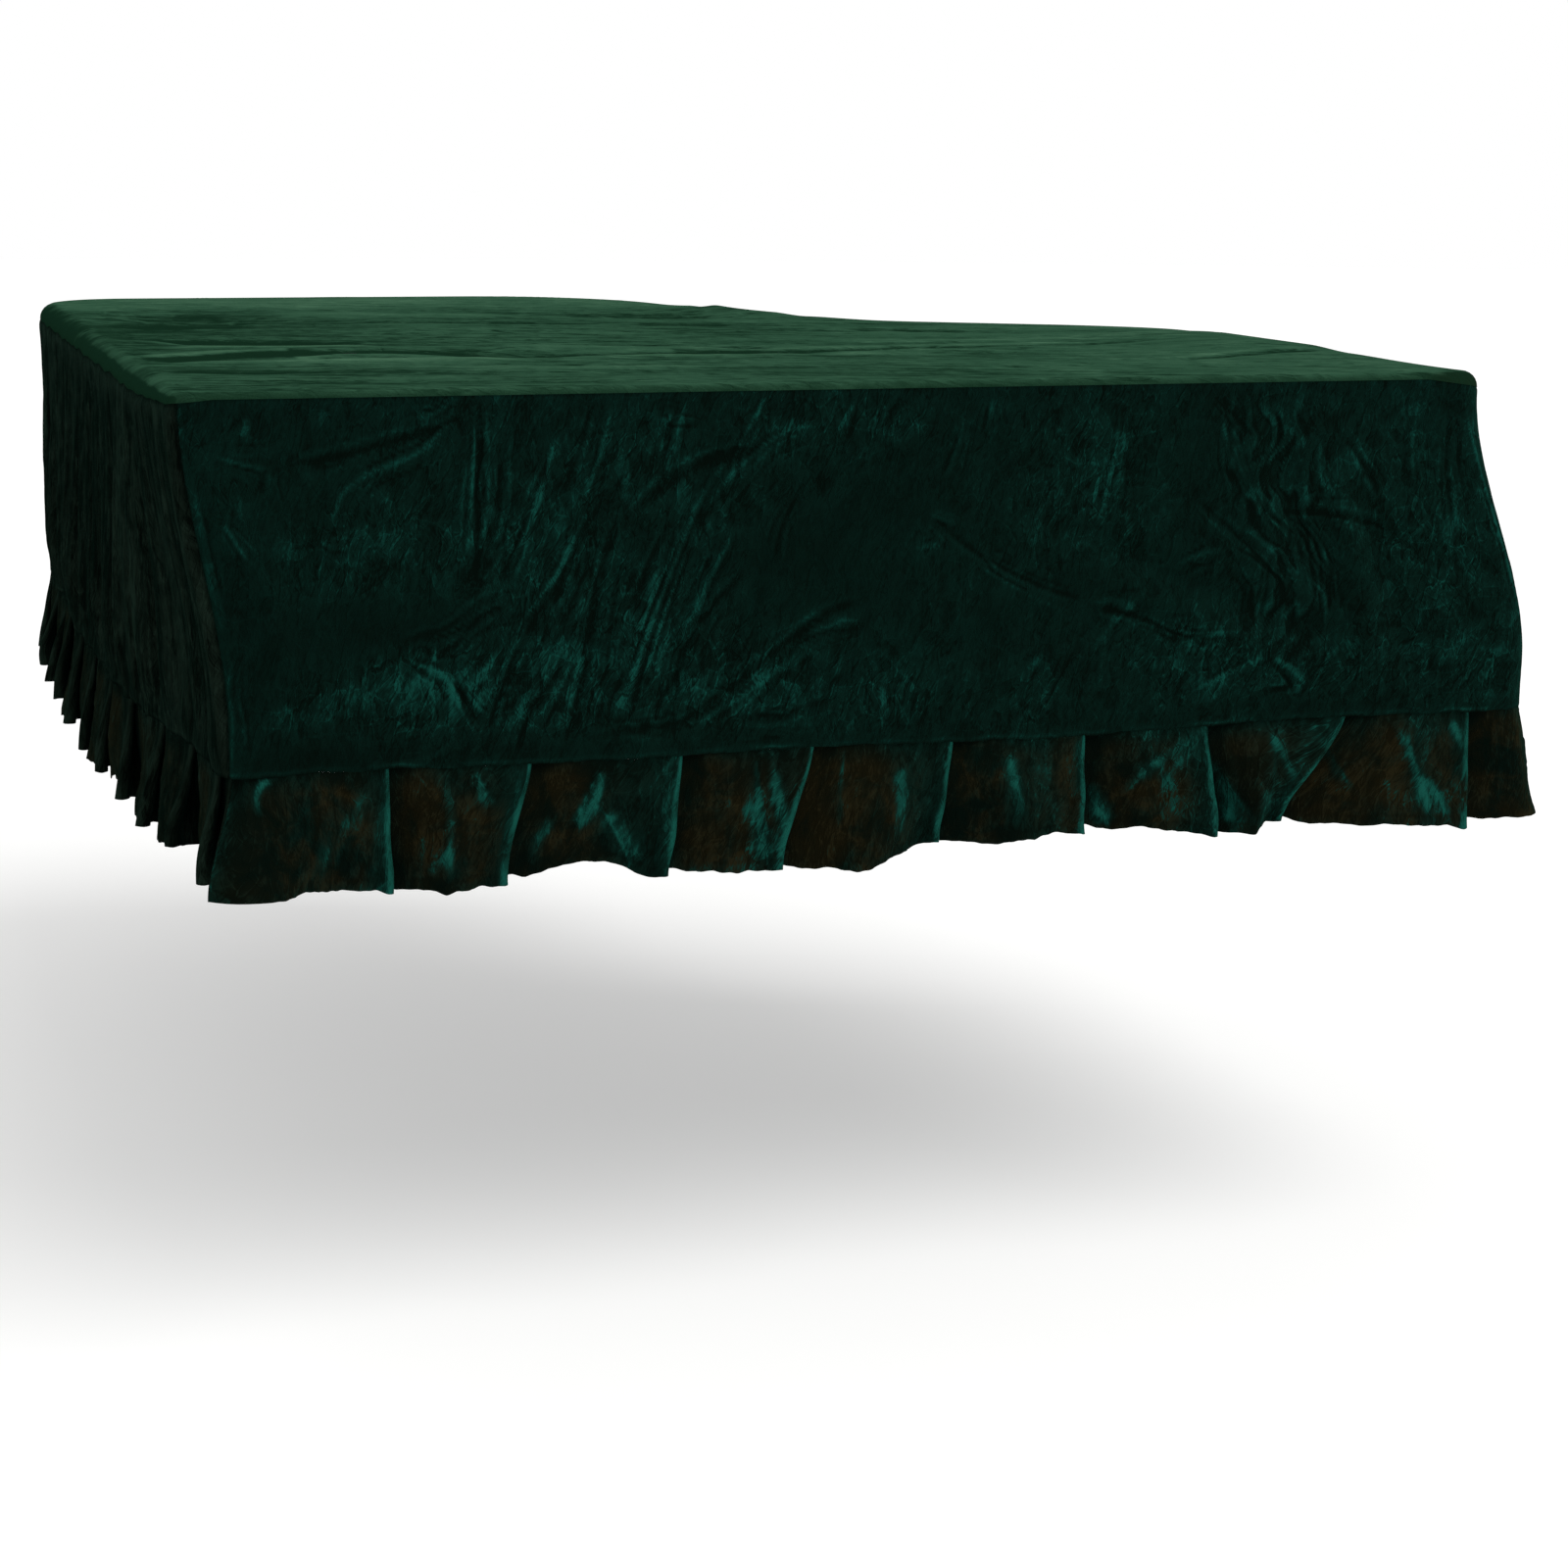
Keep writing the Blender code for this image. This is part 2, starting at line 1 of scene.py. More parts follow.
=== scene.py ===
"""Looks of a fitted velvet cover for a grand piano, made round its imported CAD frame.

Each piece of cloth stands for its CAD solid: the same plan, leans, folds and pleats,
sampled finely, with the creases and the crushed pile of the velvet on top. A place on
the hanging cloth is (along, down) in metres: along the rim of the top from the front
left corner, and down from the rim. Plan positions count from the same corner.
"""

import math
from collections import namedtuple

import bpy
import numpy as np
from bpy.props import FloatProperty, FloatVectorProperty, PointerProperty
from mathutils import Matrix, Vector
from mathutils.geometry import delaunay_2d_cdt


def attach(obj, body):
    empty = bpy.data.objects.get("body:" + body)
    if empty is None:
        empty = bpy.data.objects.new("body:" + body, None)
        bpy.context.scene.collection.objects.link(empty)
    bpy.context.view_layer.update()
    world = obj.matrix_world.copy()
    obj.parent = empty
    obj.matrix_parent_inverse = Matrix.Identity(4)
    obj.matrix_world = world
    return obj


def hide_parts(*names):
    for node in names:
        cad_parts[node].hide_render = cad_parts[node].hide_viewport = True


bl_info = {
    "name": "Grand Piano Cover",
    "version": (1, 0, 0),
    "blender": (4, 5, 0),
    "location": "3D View > Sidebar > Piano Cover",
    "description": "A fitted velvet cover for a grand piano: top panel, drops and pleated frill",
    "category": "Add Mesh",
}

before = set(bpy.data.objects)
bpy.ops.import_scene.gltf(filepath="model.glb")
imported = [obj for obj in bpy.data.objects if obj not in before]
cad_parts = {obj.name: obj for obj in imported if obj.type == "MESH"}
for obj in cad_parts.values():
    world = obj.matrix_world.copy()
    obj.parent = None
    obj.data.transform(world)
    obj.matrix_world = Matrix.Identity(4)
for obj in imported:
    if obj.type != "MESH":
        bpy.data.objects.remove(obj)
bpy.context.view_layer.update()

# Sizes of the CAD model
WIDTH = 1.515
LENGTH = 1.770
CLOTH = 0.002
SEWN_GAP = 0.0003
DROP_DEPTH = 0.400
FRILL_DEPTH = 0.120
TAIL_RISE = 0.0210
LAYER_PITCH = 0.0052
TUCK = 0.045
LEAN_DONE = 0.85
RIM_HOLD = 0.05
SEAM_HOLD = 0.74
SEAM_REACH = 0.09
SEAT_X = WIDTH / 2
SEAT_Y = LENGTH / 2
LID_HEIGHT = 1.031

# Rows of cells in the roll at the rim, and how many cells of the face share one at the back
ROLL_STEPS = 6
BACK_STEP = 3

# Distance between the points of the plan's rounded corners
PLAN_STEP = 0.003

# Cells of a drop along and down, and of the top's rim over it, as shares of the spacing
CELLS = {"front": (0.8, 1.28, 1.2), "bentside": (1.2, 1.6, 1.6), "left": (1.2, 1.6, 1.6)}

# Share of the thickness that the back keeps behind the face's troughs, and how deep it may go
BACK_CLEARANCE = 0.35
MOST_SUNK = 0.006

# The photograph's camera: its place in metres from the floor under the plan's front left
# corner, its pitch, yaw and roll in radians, its focal length and frame in pixels, and the
# sensor in millimetres
CAMERA_PLACE = (-0.3045, -2.847, 1.2446)
CAMERA_ANGLES = (0.2135, 0.3235, 0.0072)
FOCAL_PIXELS = 2844.319
FRAME_PIXELS = 1600
SENSOR_WIDTH = 36.0

# The studio's round floor, and the soft light's way and the angle it fills, in degrees
FLOOR_RADIUS = 40
FLOOR_SIDES = 64
WINDOW_WAY = (-1.3, 1.5, -2.6)
WINDOW_ANGLE = 45


def table(kind, *rows, units=None):
    """Rows of numbers as named tuples. Where units are given, each number is divided by its own."""
    if units:
        rows = [[value / unit for value, unit in zip(row, units)] for row in rows]
    return [kind(*row) for row in rows]


# The plan's corners, the roll's radius round the rim, the drops' leans, and the folds and
# creases, all as in the CAD model but for the rolls and the hump on the top
Corner = namedtuple("Corner", "name x y radius")
CORNERS = table(
    Corner,
    ("front left", 0.000, 0.000, 0.030), ("front right", WIDTH, 0.000, 0.040), ("treble", WIDTH, 0.870, 0.280),
    ("waist", 1.030, 1.130, 0.420), ("tail right", 0.900, LENGTH, 0.300), ("tail left", -0.015, LENGTH, 0.140),
)

Roll = namedtuple("Roll", "along radius")
ROLLS = table(
    Roll,
    (0.00, 0.012), (0.06, 0.006), (1.45, 0.007), (1.56, 0.022), (1.90, 0.018), (2.90, 0.014), (4.00, 0.018),
    (4.50, 0.024), (5.80, 0.022), (6.02, 0.012),
)

Lean = namedtuple("Lean", "name x y reach_x reach_y move_x move_y")
LEANS = table(
    Lean,
    ("front left corner", 0.00, 0.00, 0.14, 0.42, 0.040, 0.002),
    ("front right corner", 1.515, 0.00, 0.24, 0.34, 0.062, -0.034),
    ("treble side", 1.515, 0.70, 0.50, 0.30, 0.034, 0.004),
    ("spine middle", 0.00, 0.95, 0.30, 0.45, -0.014, 0.000), ("tail", 0.45, 1.77, 0.60, 0.30, 0.000, 0.022),
)

TopFold = namedtuple("TopFold", "x0 y0 x1 y1 height width")
TOP_FOLDS = table(
    TopFold,
    (0.02, 0.46, 0.50, 0.47, -0.0070, 0.030), (0.10, 0.75, 0.46, 0.62, -0.0060, 0.030),
    (0.46, 0.50, 1.20, 0.42, -0.0040, 0.035), (0.05, 0.57, 0.62, 0.56, 0.0050, 0.040),
    (0.06, 1.30, 0.34, 1.17, -0.0060, 0.045), (0.70, 1.24, 1.00, 1.15, -0.0050, 0.045),
    (0.30, 0.93, 1.05, 0.84, 0.0050, 0.060), (0.20, 0.22, 1.20, 0.20, 0.0030, 0.060),
    (0.97, 1.38, 1.10, 1.16, 0.0100, 0.070), (1.44, 0.30, 1.44, 0.74, 0.0080, 0.110),
)

Crease = namedtuple("Crease", "along0 down0 along1 down1 height width bow")
CREASES = table(
    Crease,
    (0.96, 0.26, 0.71, 0.38, -0.0080, 0.022, 0.010), (0.93, 0.30, 0.72, 0.40, 0.0070, 0.022, 0.008),
    (0.72, 0.08, 0.59, 0.15, -0.0060, 0.018, -0.008), (0.58, 0.17, 0.52, 0.38, -0.0065, 0.017, 0.006),
    (0.66, 0.14, 0.58, 0.37, -0.0065, 0.017, 0.006), (0.50, 0.12, 0.42, 0.36, -0.0055, 0.018, 0.006),
    (0.45, 0.03, 0.26, 0.16, -0.0055, 0.020, 0.018), (0.43, 0.05, 0.22, 0.27, 0.0050, 0.024, 0.018),
    (0.80, 0.16, 0.65, 0.38, 0.0055, 0.024, 0.006), (0.98, 0.16, 1.29, 0.30, -0.0060, 0.020, -0.006),
    (1.00, 0.20, 1.26, 0.32, 0.0055, 0.020, -0.006), (1.25, 0.03, 1.30, 0.24, -0.0050, 0.018, 0.010),
    (1.32, 0.10, 1.35, 0.36, 0.0060, 0.020, -0.006), (1.35, 0.12, 1.40, 0.38, -0.0060, 0.018, 0.004),
    (1.33, 0.16, 1.50, 0.24, -0.0050, 0.018, 0.004), (0.06, 0.10, 0.12, 0.32, 0.0060, 0.026, 0.006),
)

Gather = namedtuple("Gather", "name start end spacing height fade")
GATHERS = table(
    Gather,
    ("treble side", 1.62, 2.60, 0.230, 0.0100, 0.10), ("bentside", 2.50, 3.50, 0.200, 0.0110, 0.12),
    ("tail", 3.40, 4.40, 0.170, 0.0110, 0.12), ("spine", 4.38, 5.98, 0.125, 0.0105, 0.10),
)

LEFT_SEAM = 0.0235
RIGHT_SEAM = 1.690

# Where the rim turns the front right corner, and how crushed the top's pile is
FRONT_RIGHT = 1.550
TOP_CRUSH = 0.55

Pleat = namedtuple("Pleat", "fold drift crest root belly lift belly_lift")
FRONT_PLEATS = table(
    Pleat,
    (0.225, -0.007, 0.042, 0.005, 0.036, 0.000, 0.000), (0.383, -0.040, 0.050, 0.008, 0.034, 0.004, -0.006),
    (0.551, -0.026, 0.050, 0.012, 0.012, -0.002, 0.019), (0.702, -0.050, 0.042, 0.010, 0.030, -0.002, -0.003),
    (0.867, -0.022, 0.026, 0.010, 0.046, 0.009, -0.006), (1.028, -0.014, 0.042, -0.010, 0.040, 0.008, 0.004),
    (1.175, -0.004, 0.046, 0.004, 0.022, -0.001, 0.009), (1.325, -0.086, 0.050, 0.000, 0.054, 0.010, 0.000),
    (1.455, -0.026, 0.040, -0.010, 0.034, -0.004, 0.000), (1.610, 0.000, 0.030, 0.000, 0.014, 0.000, 0.000),
)
PLEAT_SPACING = 0.158
CORNER_SWING = {"left": 0.055, "right": 0.018, "tail": 0.022}

# A line drawn on the cloth: a crease, a trough or a lit streak
Stroke = namedtuple("Stroke", "line height width light")


def drawn_rows(*rows):
    """Strokes from rows of whole numbers: height (troughs negative) and half width in tenths of a millimetre,
    painted light in hundredths (highlight positive, shade negative), and the line's places in thousandths.
    Those are of a metre, but for the frill's, which go down by shares of its depth.
    """
    made = []
    for height, width, light, *line in rows:
        places = [(x / 1000, y / 1000) for x, y in zip(line[::2], line[1::2])]
        made.append(Stroke(places, height / 10000, width / 10000, light / 100))
    return made


# Fine creases of the front drop, with painted shade in the troughs and painted highlight on the ridges
STROKES = drawn_rows(
    (-14, 34, -48, 337, 21, 330, 112, 325, 193, 305, 219), (10, 22, 60, 328, 17, 322, 105, 314, 185),
    (12, 22, 70, 350, 39, 339, 112, 329, 171), (15, 25, 80, 421, 30, 405, 74, 382, 140, 351, 209),
    (-13, 31, -48, 388, 110, 370, 161, 347, 209), (13, 25, 90, 493, 83, 482, 117),
    (-17, 50, -61, 462, 112, 435, 160, 412, 208, 381, 252, 333, 363),
    (-17, 50, -61, 482, 117, 458, 210, 442, 304, 421, 384),
    (-17, 43, -61, 591, 90, 559, 157, 524, 247, 488, 353), (15, 25, 60, 583, 89, 552, 156, 516, 246, 484, 337),
    (-15, 43, -54, 627, 193, 595, 223, 563, 264, 547, 302, 545, 340),
    (-19, 74, -61, 642, 61, 571, 78, 524, 107, 493, 132),
    (14, 25, 70, 714, 36, 662, 46, 626, 72, 595, 101, 575, 131), (12, 22, 90, 746, 10, 722, 51),
    (12, 22, 70, 642, 8, 630, 30), (12, 22, 70, 521, 28, 548, 31, 567, 27),
    (-25, 62, -68, 761, 233, 716, 247, 627, 313, 547, 364, 484, 368, 453, 374),
    (18, 37, 70, 676, 296, 628, 329, 587, 354, 559, 368),
    (-14, 50, -48, 762, 265, 725, 267, 696, 274, 660, 299), (15, 31, 80, 745, 254, 708, 264, 688, 277),
    (-13, 43, -48, 726, 342, 685, 355, 660, 364, 603, 361),
    (-13, 43, -48, 256, 269, 293, 270, 320, 245, 351, 224), (-14, 31, -48, 300, 308, 318, 343, 335, 363),
    (-14, 31, -48, 365, 285, 345, 333, 335, 363), (-13, 31, -48, 395, 317, 375, 362, 363, 388),
    (-13, 37, -54, 423, 273, 407, 310, 379, 347, 367, 380),
    (15, 25, 90, 256, 284, 285, 296, 296, 319, 294, 349), (12, 25, 60, 435, 145, 416, 186, 389, 226),
    (-17, 25, -50, 524, 182, 500, 215), (12, 25, 70, 454, 259, 426, 326, 406, 375),
    (12, 25, 80, 320, -9, 287, 16, 257, 22),
    (15, 25, 80, 316, 13, 294, 34, 267, 59, 227, 74, 197, 90, 182, 107, 163, 150),
    (-17, 62, -54, 312, 24, 264, 41, 205, 57, 155, 67, 126, 66), (12, 25, 70, 56, 57, 77, 65, 108, 73),
    (10, 25, 80, 94, 18, 85, 40), (12, 25, 70, 53, 125, 73, 169), (10, 22, 60, 342, 10, 333, 97, 324, 178),
    (10, 22, 60, 368, 32, 360, 98, 343, 171), (-14, 31, -48, 331, 2, 330, 97, 323, 181, 302, 207),
    (10, 25, 60, 112, 76, 104, 105), (10, 22, 60, 78, 98, 73, 126), (10, 22, 60, 156, 146, 166, 156, 192, 157),
    (10, 22, 50, 32, 60, 31, 117, 30, 197, 32, 262), (13, 22, 72, 32, 262, 34, 281, 28, 302, 30, 343, 27, 396),
    (14, 25, 100, 278, 265, 279, 284), (15, 25, 80, 248, 279, 274, 295, 296, 307, 297, 330),
    (-16, 31, -48, 281, 299, 303, 312, 333, 355), (-13, 50, -41, 237, 263, 290, 247, 331, 219, 365, 209),
    (-14, 31, -48, 395, 297, 372, 323, 337, 355), (12, 26, 50, 833, 139, 865, 152),
    (-14, 38, -48, 844, 153, 912, 197, 968, 223, 1025, 245), (12, 25, 70, 899, 188, 916, 205),
    (12, 30, 60, 1029, 245, 1056, 246, 1087, 257), (-13, 37, -54, 1038, 253, 1092, 268, 1146, 290),
    (17, 25, 90, 1096, 264, 1146, 288, 1204, 289), (10, 25, 70, 1133, 207, 1186, 190),
    (12, 25, 80, 815, 176, 844, 174), (8, 31, 50, 1031, 299, 1099, 228),
    (-13, 37, -48, 1174, 14, 1202, 38, 1225, 63), (-11, 31, -41, 1193, 34, 1195, 94, 1205, 122),
    (12, 22, 80, 1188, 42, 1193, 86, 1198, 106), (-14, 43, -48, 1157, 133, 1194, 166, 1232, 200),
    (-16, 31, -48, 1254, 108, 1238, 143, 1267, 177, 1250, 217),
    (-16, 31, -48, 1286, 112, 1279, 153, 1300, 202, 1304, 281), (14, 25, 70, 1304, 194, 1300, 285),
    (-14, 31, -48, 1241, 200, 1238, 241, 1231, 282), (10, 22, 70, 1219, 115, 1234, 160),
    (-15, 37, -54, 1247, 152, 1320, 156, 1386, 177), (10, 22, 60, 1311, 69, 1304, 105, 1315, 146),
    (-14, 37, -48, 1343, 69, 1364, 106, 1375, 139), (19, 31, 90, 1242, 320, 1206, 334, 1157, 357),
    (15, 31, 80, 1242, 320, 1271, 346, 1281, 363), (-11, 37, -48, 1247, 341, 1267, 358, 1235, 365),
    (-13, 37, -48, 1014, 297, 989, 340, 976, 360), (10, 31, 50, 1048, 282, 1045, 314, 1042, 347),
    (12, 36, 70, 782, 333, 779, 357), (10, 22, 60, 974, 298, 952, 322),
    (20, 25, 100, 1500, 25, 1508, 100, 1514, 200, 1520, 290), (-16, 31, -54, 1478, 35, 1462, 110, 1452, 190),
    (12, 22, 70, 1440, 15, 1425, 70, 1418, 120), (12, 22, 70, 640, 10, 612, 65, 600, 110),
    (12, 22, 70, 560, 6, 542, 45, 532, 90), (12, 22, 70, 475, 10, 462, 60, 440, 120),
    (-12, 26, -41, 452, 8, 441, 48, 420, 98), (12, 22, 70, 610, 150, 575, 215, 548, 280),
    (-13, 29, -48, 540, 130, 512, 190, 492, 250), (12, 22, 80, 505, 270, 486, 320, 470, 362),
    (-13, 29, -54, 560, 290, 532, 330, 515, 366), (-13, 29, -48, 450, 180, 425, 235, 400, 285),
    (12, 22, 80, 350, 270, 330, 300, 312, 322), (10, 22, 60, 872, 20, 866, 60, 850, 105),
    (10, 22, 60, 905, 12, 900, 55), (-12, 27, -41, 690, 100, 664, 150, 655, 190),
    (10, 22, 50, 1060, 30, 1052, 85, 1040, 140),
)

# Troughs and ridges of the top, over its plan, with painted shade in the troughs and painted highlight on the
# ridges
TOP_STROKES = drawn_rows(
    (-50, 220, -190, 15, 501, 88, 516, 175, 536, 261, 536),
    (-30, 120, -90, 200, 536, 300, 534, 380, 518, 440, 497),
    (-50, 240, -140, 65, 812, 120, 783, 187, 752, 254, 721, 323, 671, 380, 600),
    (-40, 800, -60, 40, 1080, 130, 1103, 240, 1114), (-30, 600, -35, 20, 1230, 140, 1260, 240, 1250),
    (-30, 200, -70, 163, 1149, 350, 1125, 525, 1098, 737, 1043), (-30, 340, -60, 760, 1020, 900, 990),
    (-40, 180, -100, 470, 487, 644, 499, 840, 502, 1007, 535, 1146, 542, 1279, 550, 1380, 550),
    (-30, 260, -90, 1011, 848, 1110, 835, 1203, 818),
    (-30, 160, -90, 1210, 265, 1310, 293, 1398, 327, 1492, 342), (-30, 120, -80, 13, 317, 102, 266, 223, 243),
    (-30, 140, -70, 438, 669, 560, 630, 678, 593, 832, 521), (-20, 140, -60, 880, 420, 1050, 400, 1240, 380),
    (-30, 400, -45, 700, 1300, 840, 1260, 960, 1210), (30, 300, 90, 23, 428, 142, 416, 301, 408, 480, 400),
    (30, 240, 80, 60, 684, 120, 655, 221, 627, 337, 598), (25, 200, 70, 480, 420, 700, 430, 950, 460),
    (20, 180, 60, 460, 560, 640, 555, 820, 560), (20, 260, 60, 900, 640, 1100, 630, 1300, 640),
    (15, 180, 50, 300, 240, 550, 220, 800, 230), (20, 500, 60, 260, 1320, 450, 1290, 640, 1240),
)

# Streaks of the front frill: ridges with painted highlight along them
FRILL_STROKES = drawn_rows(
    (30, 60, 60, 288, 50, 290, 400, 282, 950), (20, 50, 50, 286, 620, 262, 880),
    (22, 120, 50, 205, 100, 170, 450, 120, 800), (30, 90, 80, 405, 500, 380, 800, 385, 980),
    (36, 65, 100, 463, 80, 450, 400, 428, 700), (24, 110, 60, 462, 500, 480, 720, 500, 900),
    (16, 80, 40, 630, 200, 622, 500, 628, 900), (34, 75, 100, 655, 100, 658, 500, 668, 980),
    (24, 90, 60, 798, 150, 800, 500, 792, 900), (24, 100, 55, 930, 100, 938, 500, 930, 950),
    (30, 110, 100, 1035, 500, 1048, 750, 1058, 980), (24, 60, 60, 1170, 50, 1110, 350, 1065, 700),
    (18, 60, 40, 1160, 150, 1120, 550, 1105, 850), (28, 70, 90, 1185, 300, 1188, 650, 1196, 980),
    (30, 50, 60, 1242, 100, 1252, 350, 1262, 620), (20, 80, 50, 1225, 600, 1222, 950),
    (32, 55, 50, 1372, 50, 1385, 400, 1392, 950), (22, 60, 70, 1392, 550, 1405, 750, 1410, 950),
    (30, 65, 90, 1432, 50, 1442, 300, 1452, 600), (20, 45, 100, 78, 20, 60, 70, 51, 180, 53, 360),
)

# Oval patches: painted light (positive) or painted shade on the front drop, brown on the front frill. Fans of
# painted highlight (painted shade where negative) open downwards. On the frill, places go down by shares of its
# depth
Patch = namedtuple("Patch", "along down reach_along reach_down strength")
Flare = namedtuple("Flare", "top_x top bottom_x bottom spread light")
PATCH_UNITS = (1000, 1000, 1000, 1000, 100)
FLARE_UNITS = (1000, 1000, 1000, 1000, 1000, 100)

# Patches of painted light and shade on the front drop, which also set how crushed its pile is
PATCHES = table(
    Patch,
    (270, 310, 110, 40, 75), (120, 330, 60, 30, 35), (400, 330, 60, 50, 60), (520, 300, 90, 60, 50),
    (640, 330, 60, 40, 45), (240, 170, 80, 50, 35), (400, 150, 80, 90, 35), (500, 60, 60, 30, 40),
    (790, 40, 40, 16, 60), (560, 120, 70, 40, 30), (1000, 130, 90, 60, 25), (1150, 320, 110, 40, 60),
    (970, 350, 60, 30, 35), (1410, 200, 70, 70, 45), (1420, 320, 90, 60, 55), (1300, 340, 50, 40, 35),
    (800, 350, 50, 30, 30), (200, 245, 120, 35, -45), (110, 90, 90, 50, -20), (800, 200, 110, 90, -45),
    (880, 290, 60, 60, -35), (1265, 220, 50, 70, -50), (660, 200, 60, 50, -25), (1020, 230, 50, 30, -30),
    (280, 386, 240, 18, -100), (800, 396, 300, 10, -30), (150, 328, 50, 16, 60), (95, 338, 34, 14, 35),
    (232, 322, 46, 18, 70), (300, 296, 44, 26, 60),
    units=PATCH_UNITS,
)

# Lit flares of the front frill's folds
FRILL_FLARES = table(
    Flare,
    (218, 0, 211, 1050, 15, 100), (375, 0, 338, 1000, 15, 110), (459, 80, 426, 620, 5, 130),
    (450, 400, 486, 980, 16, 90), (320, 20, 336, 340, 10, 100), (541, 50, 531, 1050, 18, 110),
    (634, 20, 636, 1000, 11, 120), (640, 600, 664, 1050, 12, 70), (690, 350, 674, 1000, 16, -110),
    (739, 0, 722, 700, 6, 70), (856, 50, 849, 1000, 8, 90), (930, 100, 940, 950, 18, 50),
    (1020, 0, 1012, 600, 8, 90), (1014, 300, 1050, 1000, 22, 110), (1100, 50, 1120, 600, 30, 50),
    (1165, 0, 1206, 900, 14, 100), (1250, 20, 1228, 1000, 14, 55), (1288, 20, 1322, 700, 9, 80),
    (1385, 100, 1392, 1000, 6, 50), (1436, 20, 1450, 800, 5, 60), (150, 300, 120, 950, 18, 50),
    (262, 500, 250, 1000, 10, 60),
    units=FLARE_UNITS,
)

# Brown places of the front frill: flat-lying nap, and painted shade in the recesses beside the folds
FRILL_BROWN = table(
    Patch,
    (115, 600, 50, 500, 60), (168, 500, 36, 500, 100), (262, 400, 24, 500, 80), (318, 620, 34, 440, 100),
    (415, 450, 34, 500, 90), (575, 600, 30, 600, 100), (620, 600, 30, 500, 60), (728, 600, 60, 600, 100),
    (775, 700, 30, 400, 60), (892, 550, 30, 600, 100), (1005, 550, 22, 600, 90), (1085, 800, 34, 340, 90),
    (1120, 620, 30, 260, 70), (1300, 750, 34, 400, 70), (1365, 550, 24, 600, 100), (1420, 650, 22, 500, 90),
    (1480, 550, 22, 600, 80), (1560, 500, 70, 700, 100),
    units=PATCH_UNITS,
)


def noise(x, y, seed):
    """Smooth noise from -1 to 1, with about one hill or hollow to a unit."""
    cell_x = np.floor(x).astype(np.int64)
    cell_y = np.floor(y).astype(np.int64)
    part_x = x - cell_x
    part_y = y - cell_y

    def slope(step_x, step_y):
        mixed = (cell_x + step_x) * 374761393 + (cell_y + step_y) * 668265263 + seed * 982451653
        mixed = mixed & 0xFFFFFFFF
        mixed = ((mixed ^ (mixed >> 13)) * 1274126177) & 0xFFFFFFFF
        angle = ((mixed ^ (mixed >> 16)) & 0xFFFF) * (2 * math.pi / 65536)
        return np.cos(angle) * (part_x - step_x) + np.sin(angle) * (part_y - step_y)

    fade_x = part_x**3 * (part_x * (part_x * 6 - 15) + 10)
    fade_y = part_y**3 * (part_y * (part_y * 6 - 15) + 10)
    low = slope(0, 0) + (slope(1, 0) - slope(0, 0)) * fade_x
    high = slope(0, 1) + (slope(1, 1) - slope(0, 1)) * fade_x
    return 1.5 * (low + (high - low) * fade_y)


def line_noise(along, seed):
    """Noise along a line."""
    return noise(along, along * 0, seed)


def cloudy(x, y, seed):
    """Noise with finer noise on it, each octave half the size and half the height."""
    total = np.zeros(np.broadcast(x, y).shape)
    for octave in range(3):
        total += noise(x * 2**octave, y * 2**octave, seed + octave) / 2**octave
    return total


def rounded_plan(step):
    """Points of the rounded plan, counter-clockwise seen from above, from the left corner."""
    points = []
    for k, corner in enumerate(CORNERS):
        before = CORNERS[k - 1]
        after = CORNERS[(k + 1) % len(CORNERS)]
        way_in = np.array([corner.x - before.x, corner.y - before.y])
        way_out = np.array([after.x - corner.x, after.y - corner.y])
        way_in /= np.linalg.norm(way_in)
        way_out /= np.linalg.norm(way_out)
        turn = math.atan2(way_in[0] * way_out[1] - way_in[1] * way_out[0], way_in @ way_out)
        side = math.copysign(1.0, turn)
        start = np.array([corner.x, corner.y]) - way_in * corner.radius * math.tan(abs(turn) / 2)
        centre = start + side * corner.radius * np.array([-way_in[1], way_in[0]])
        first = math.atan2(-side * way_in[0], side * way_in[1])
        count = max(4, round(abs(turn) * corner.radius / step))
        for i in range(count + 1):
            angle = first + turn * i / count
            points.append(centre + corner.radius * np.array([math.cos(angle), math.sin(angle)]))
    return np.array(points)


def running(lengths):
    """Distances from the start to both ends of each part, from the parts' lengths."""
    return np.concatenate([[0.0], np.cumsum(lengths)])


def part_lengths(line):
    return np.linalg.norm(np.diff(line, axis=0), axis=1)


class Rim:
    """The top's rim as a closed line that gives the point and outward normal at a distance."""

    def __init__(self):
        corners = rounded_plan(PLAN_STEP)
        closed = np.vstack([corners, corners[:1]])
        self.along = running(part_lengths(closed))
        self.points = closed
        self.length = self.along[-1]

    def at(self, along):
        around = np.mod(along, self.length)
        return np.stack([np.interp(around, self.along, self.points[:, k]) for k in (0, 1)], axis=-1)

    def normal(self, along):
        reach = 0.004
        way = self.at(np.asarray(along) + reach) - self.at(np.asarray(along) - reach)
        way /= np.linalg.norm(way, axis=-1, keepdims=True)
        return np.stack([way[..., 1], -way[..., 0]], axis=-1)


RIM = Rim()
TAIL_SEAM = RIM.length - LENGTH + CORNERS[5].radius * (1 - math.pi / 4) - 0.002

# The stretches of the rim that a drop and its frill hang from
STRETCHES = {
    "front": (LEFT_SEAM, RIGHT_SEAM),
    "bentside": (RIGHT_SEAM, TAIL_SEAM),
    "left": (TAIL_SEAM, RIM.length + LEFT_SEAM),
}


def smooth(value):
    clipped = np.clip(value, 0.0, 1.0)
    return clipped * clipped * (3 - 2 * clipped)


def bump(value, width):
    """1 where a value is 0, falling off on both sides of it over a width."""
    return np.exp(-((value / width) ** 2))


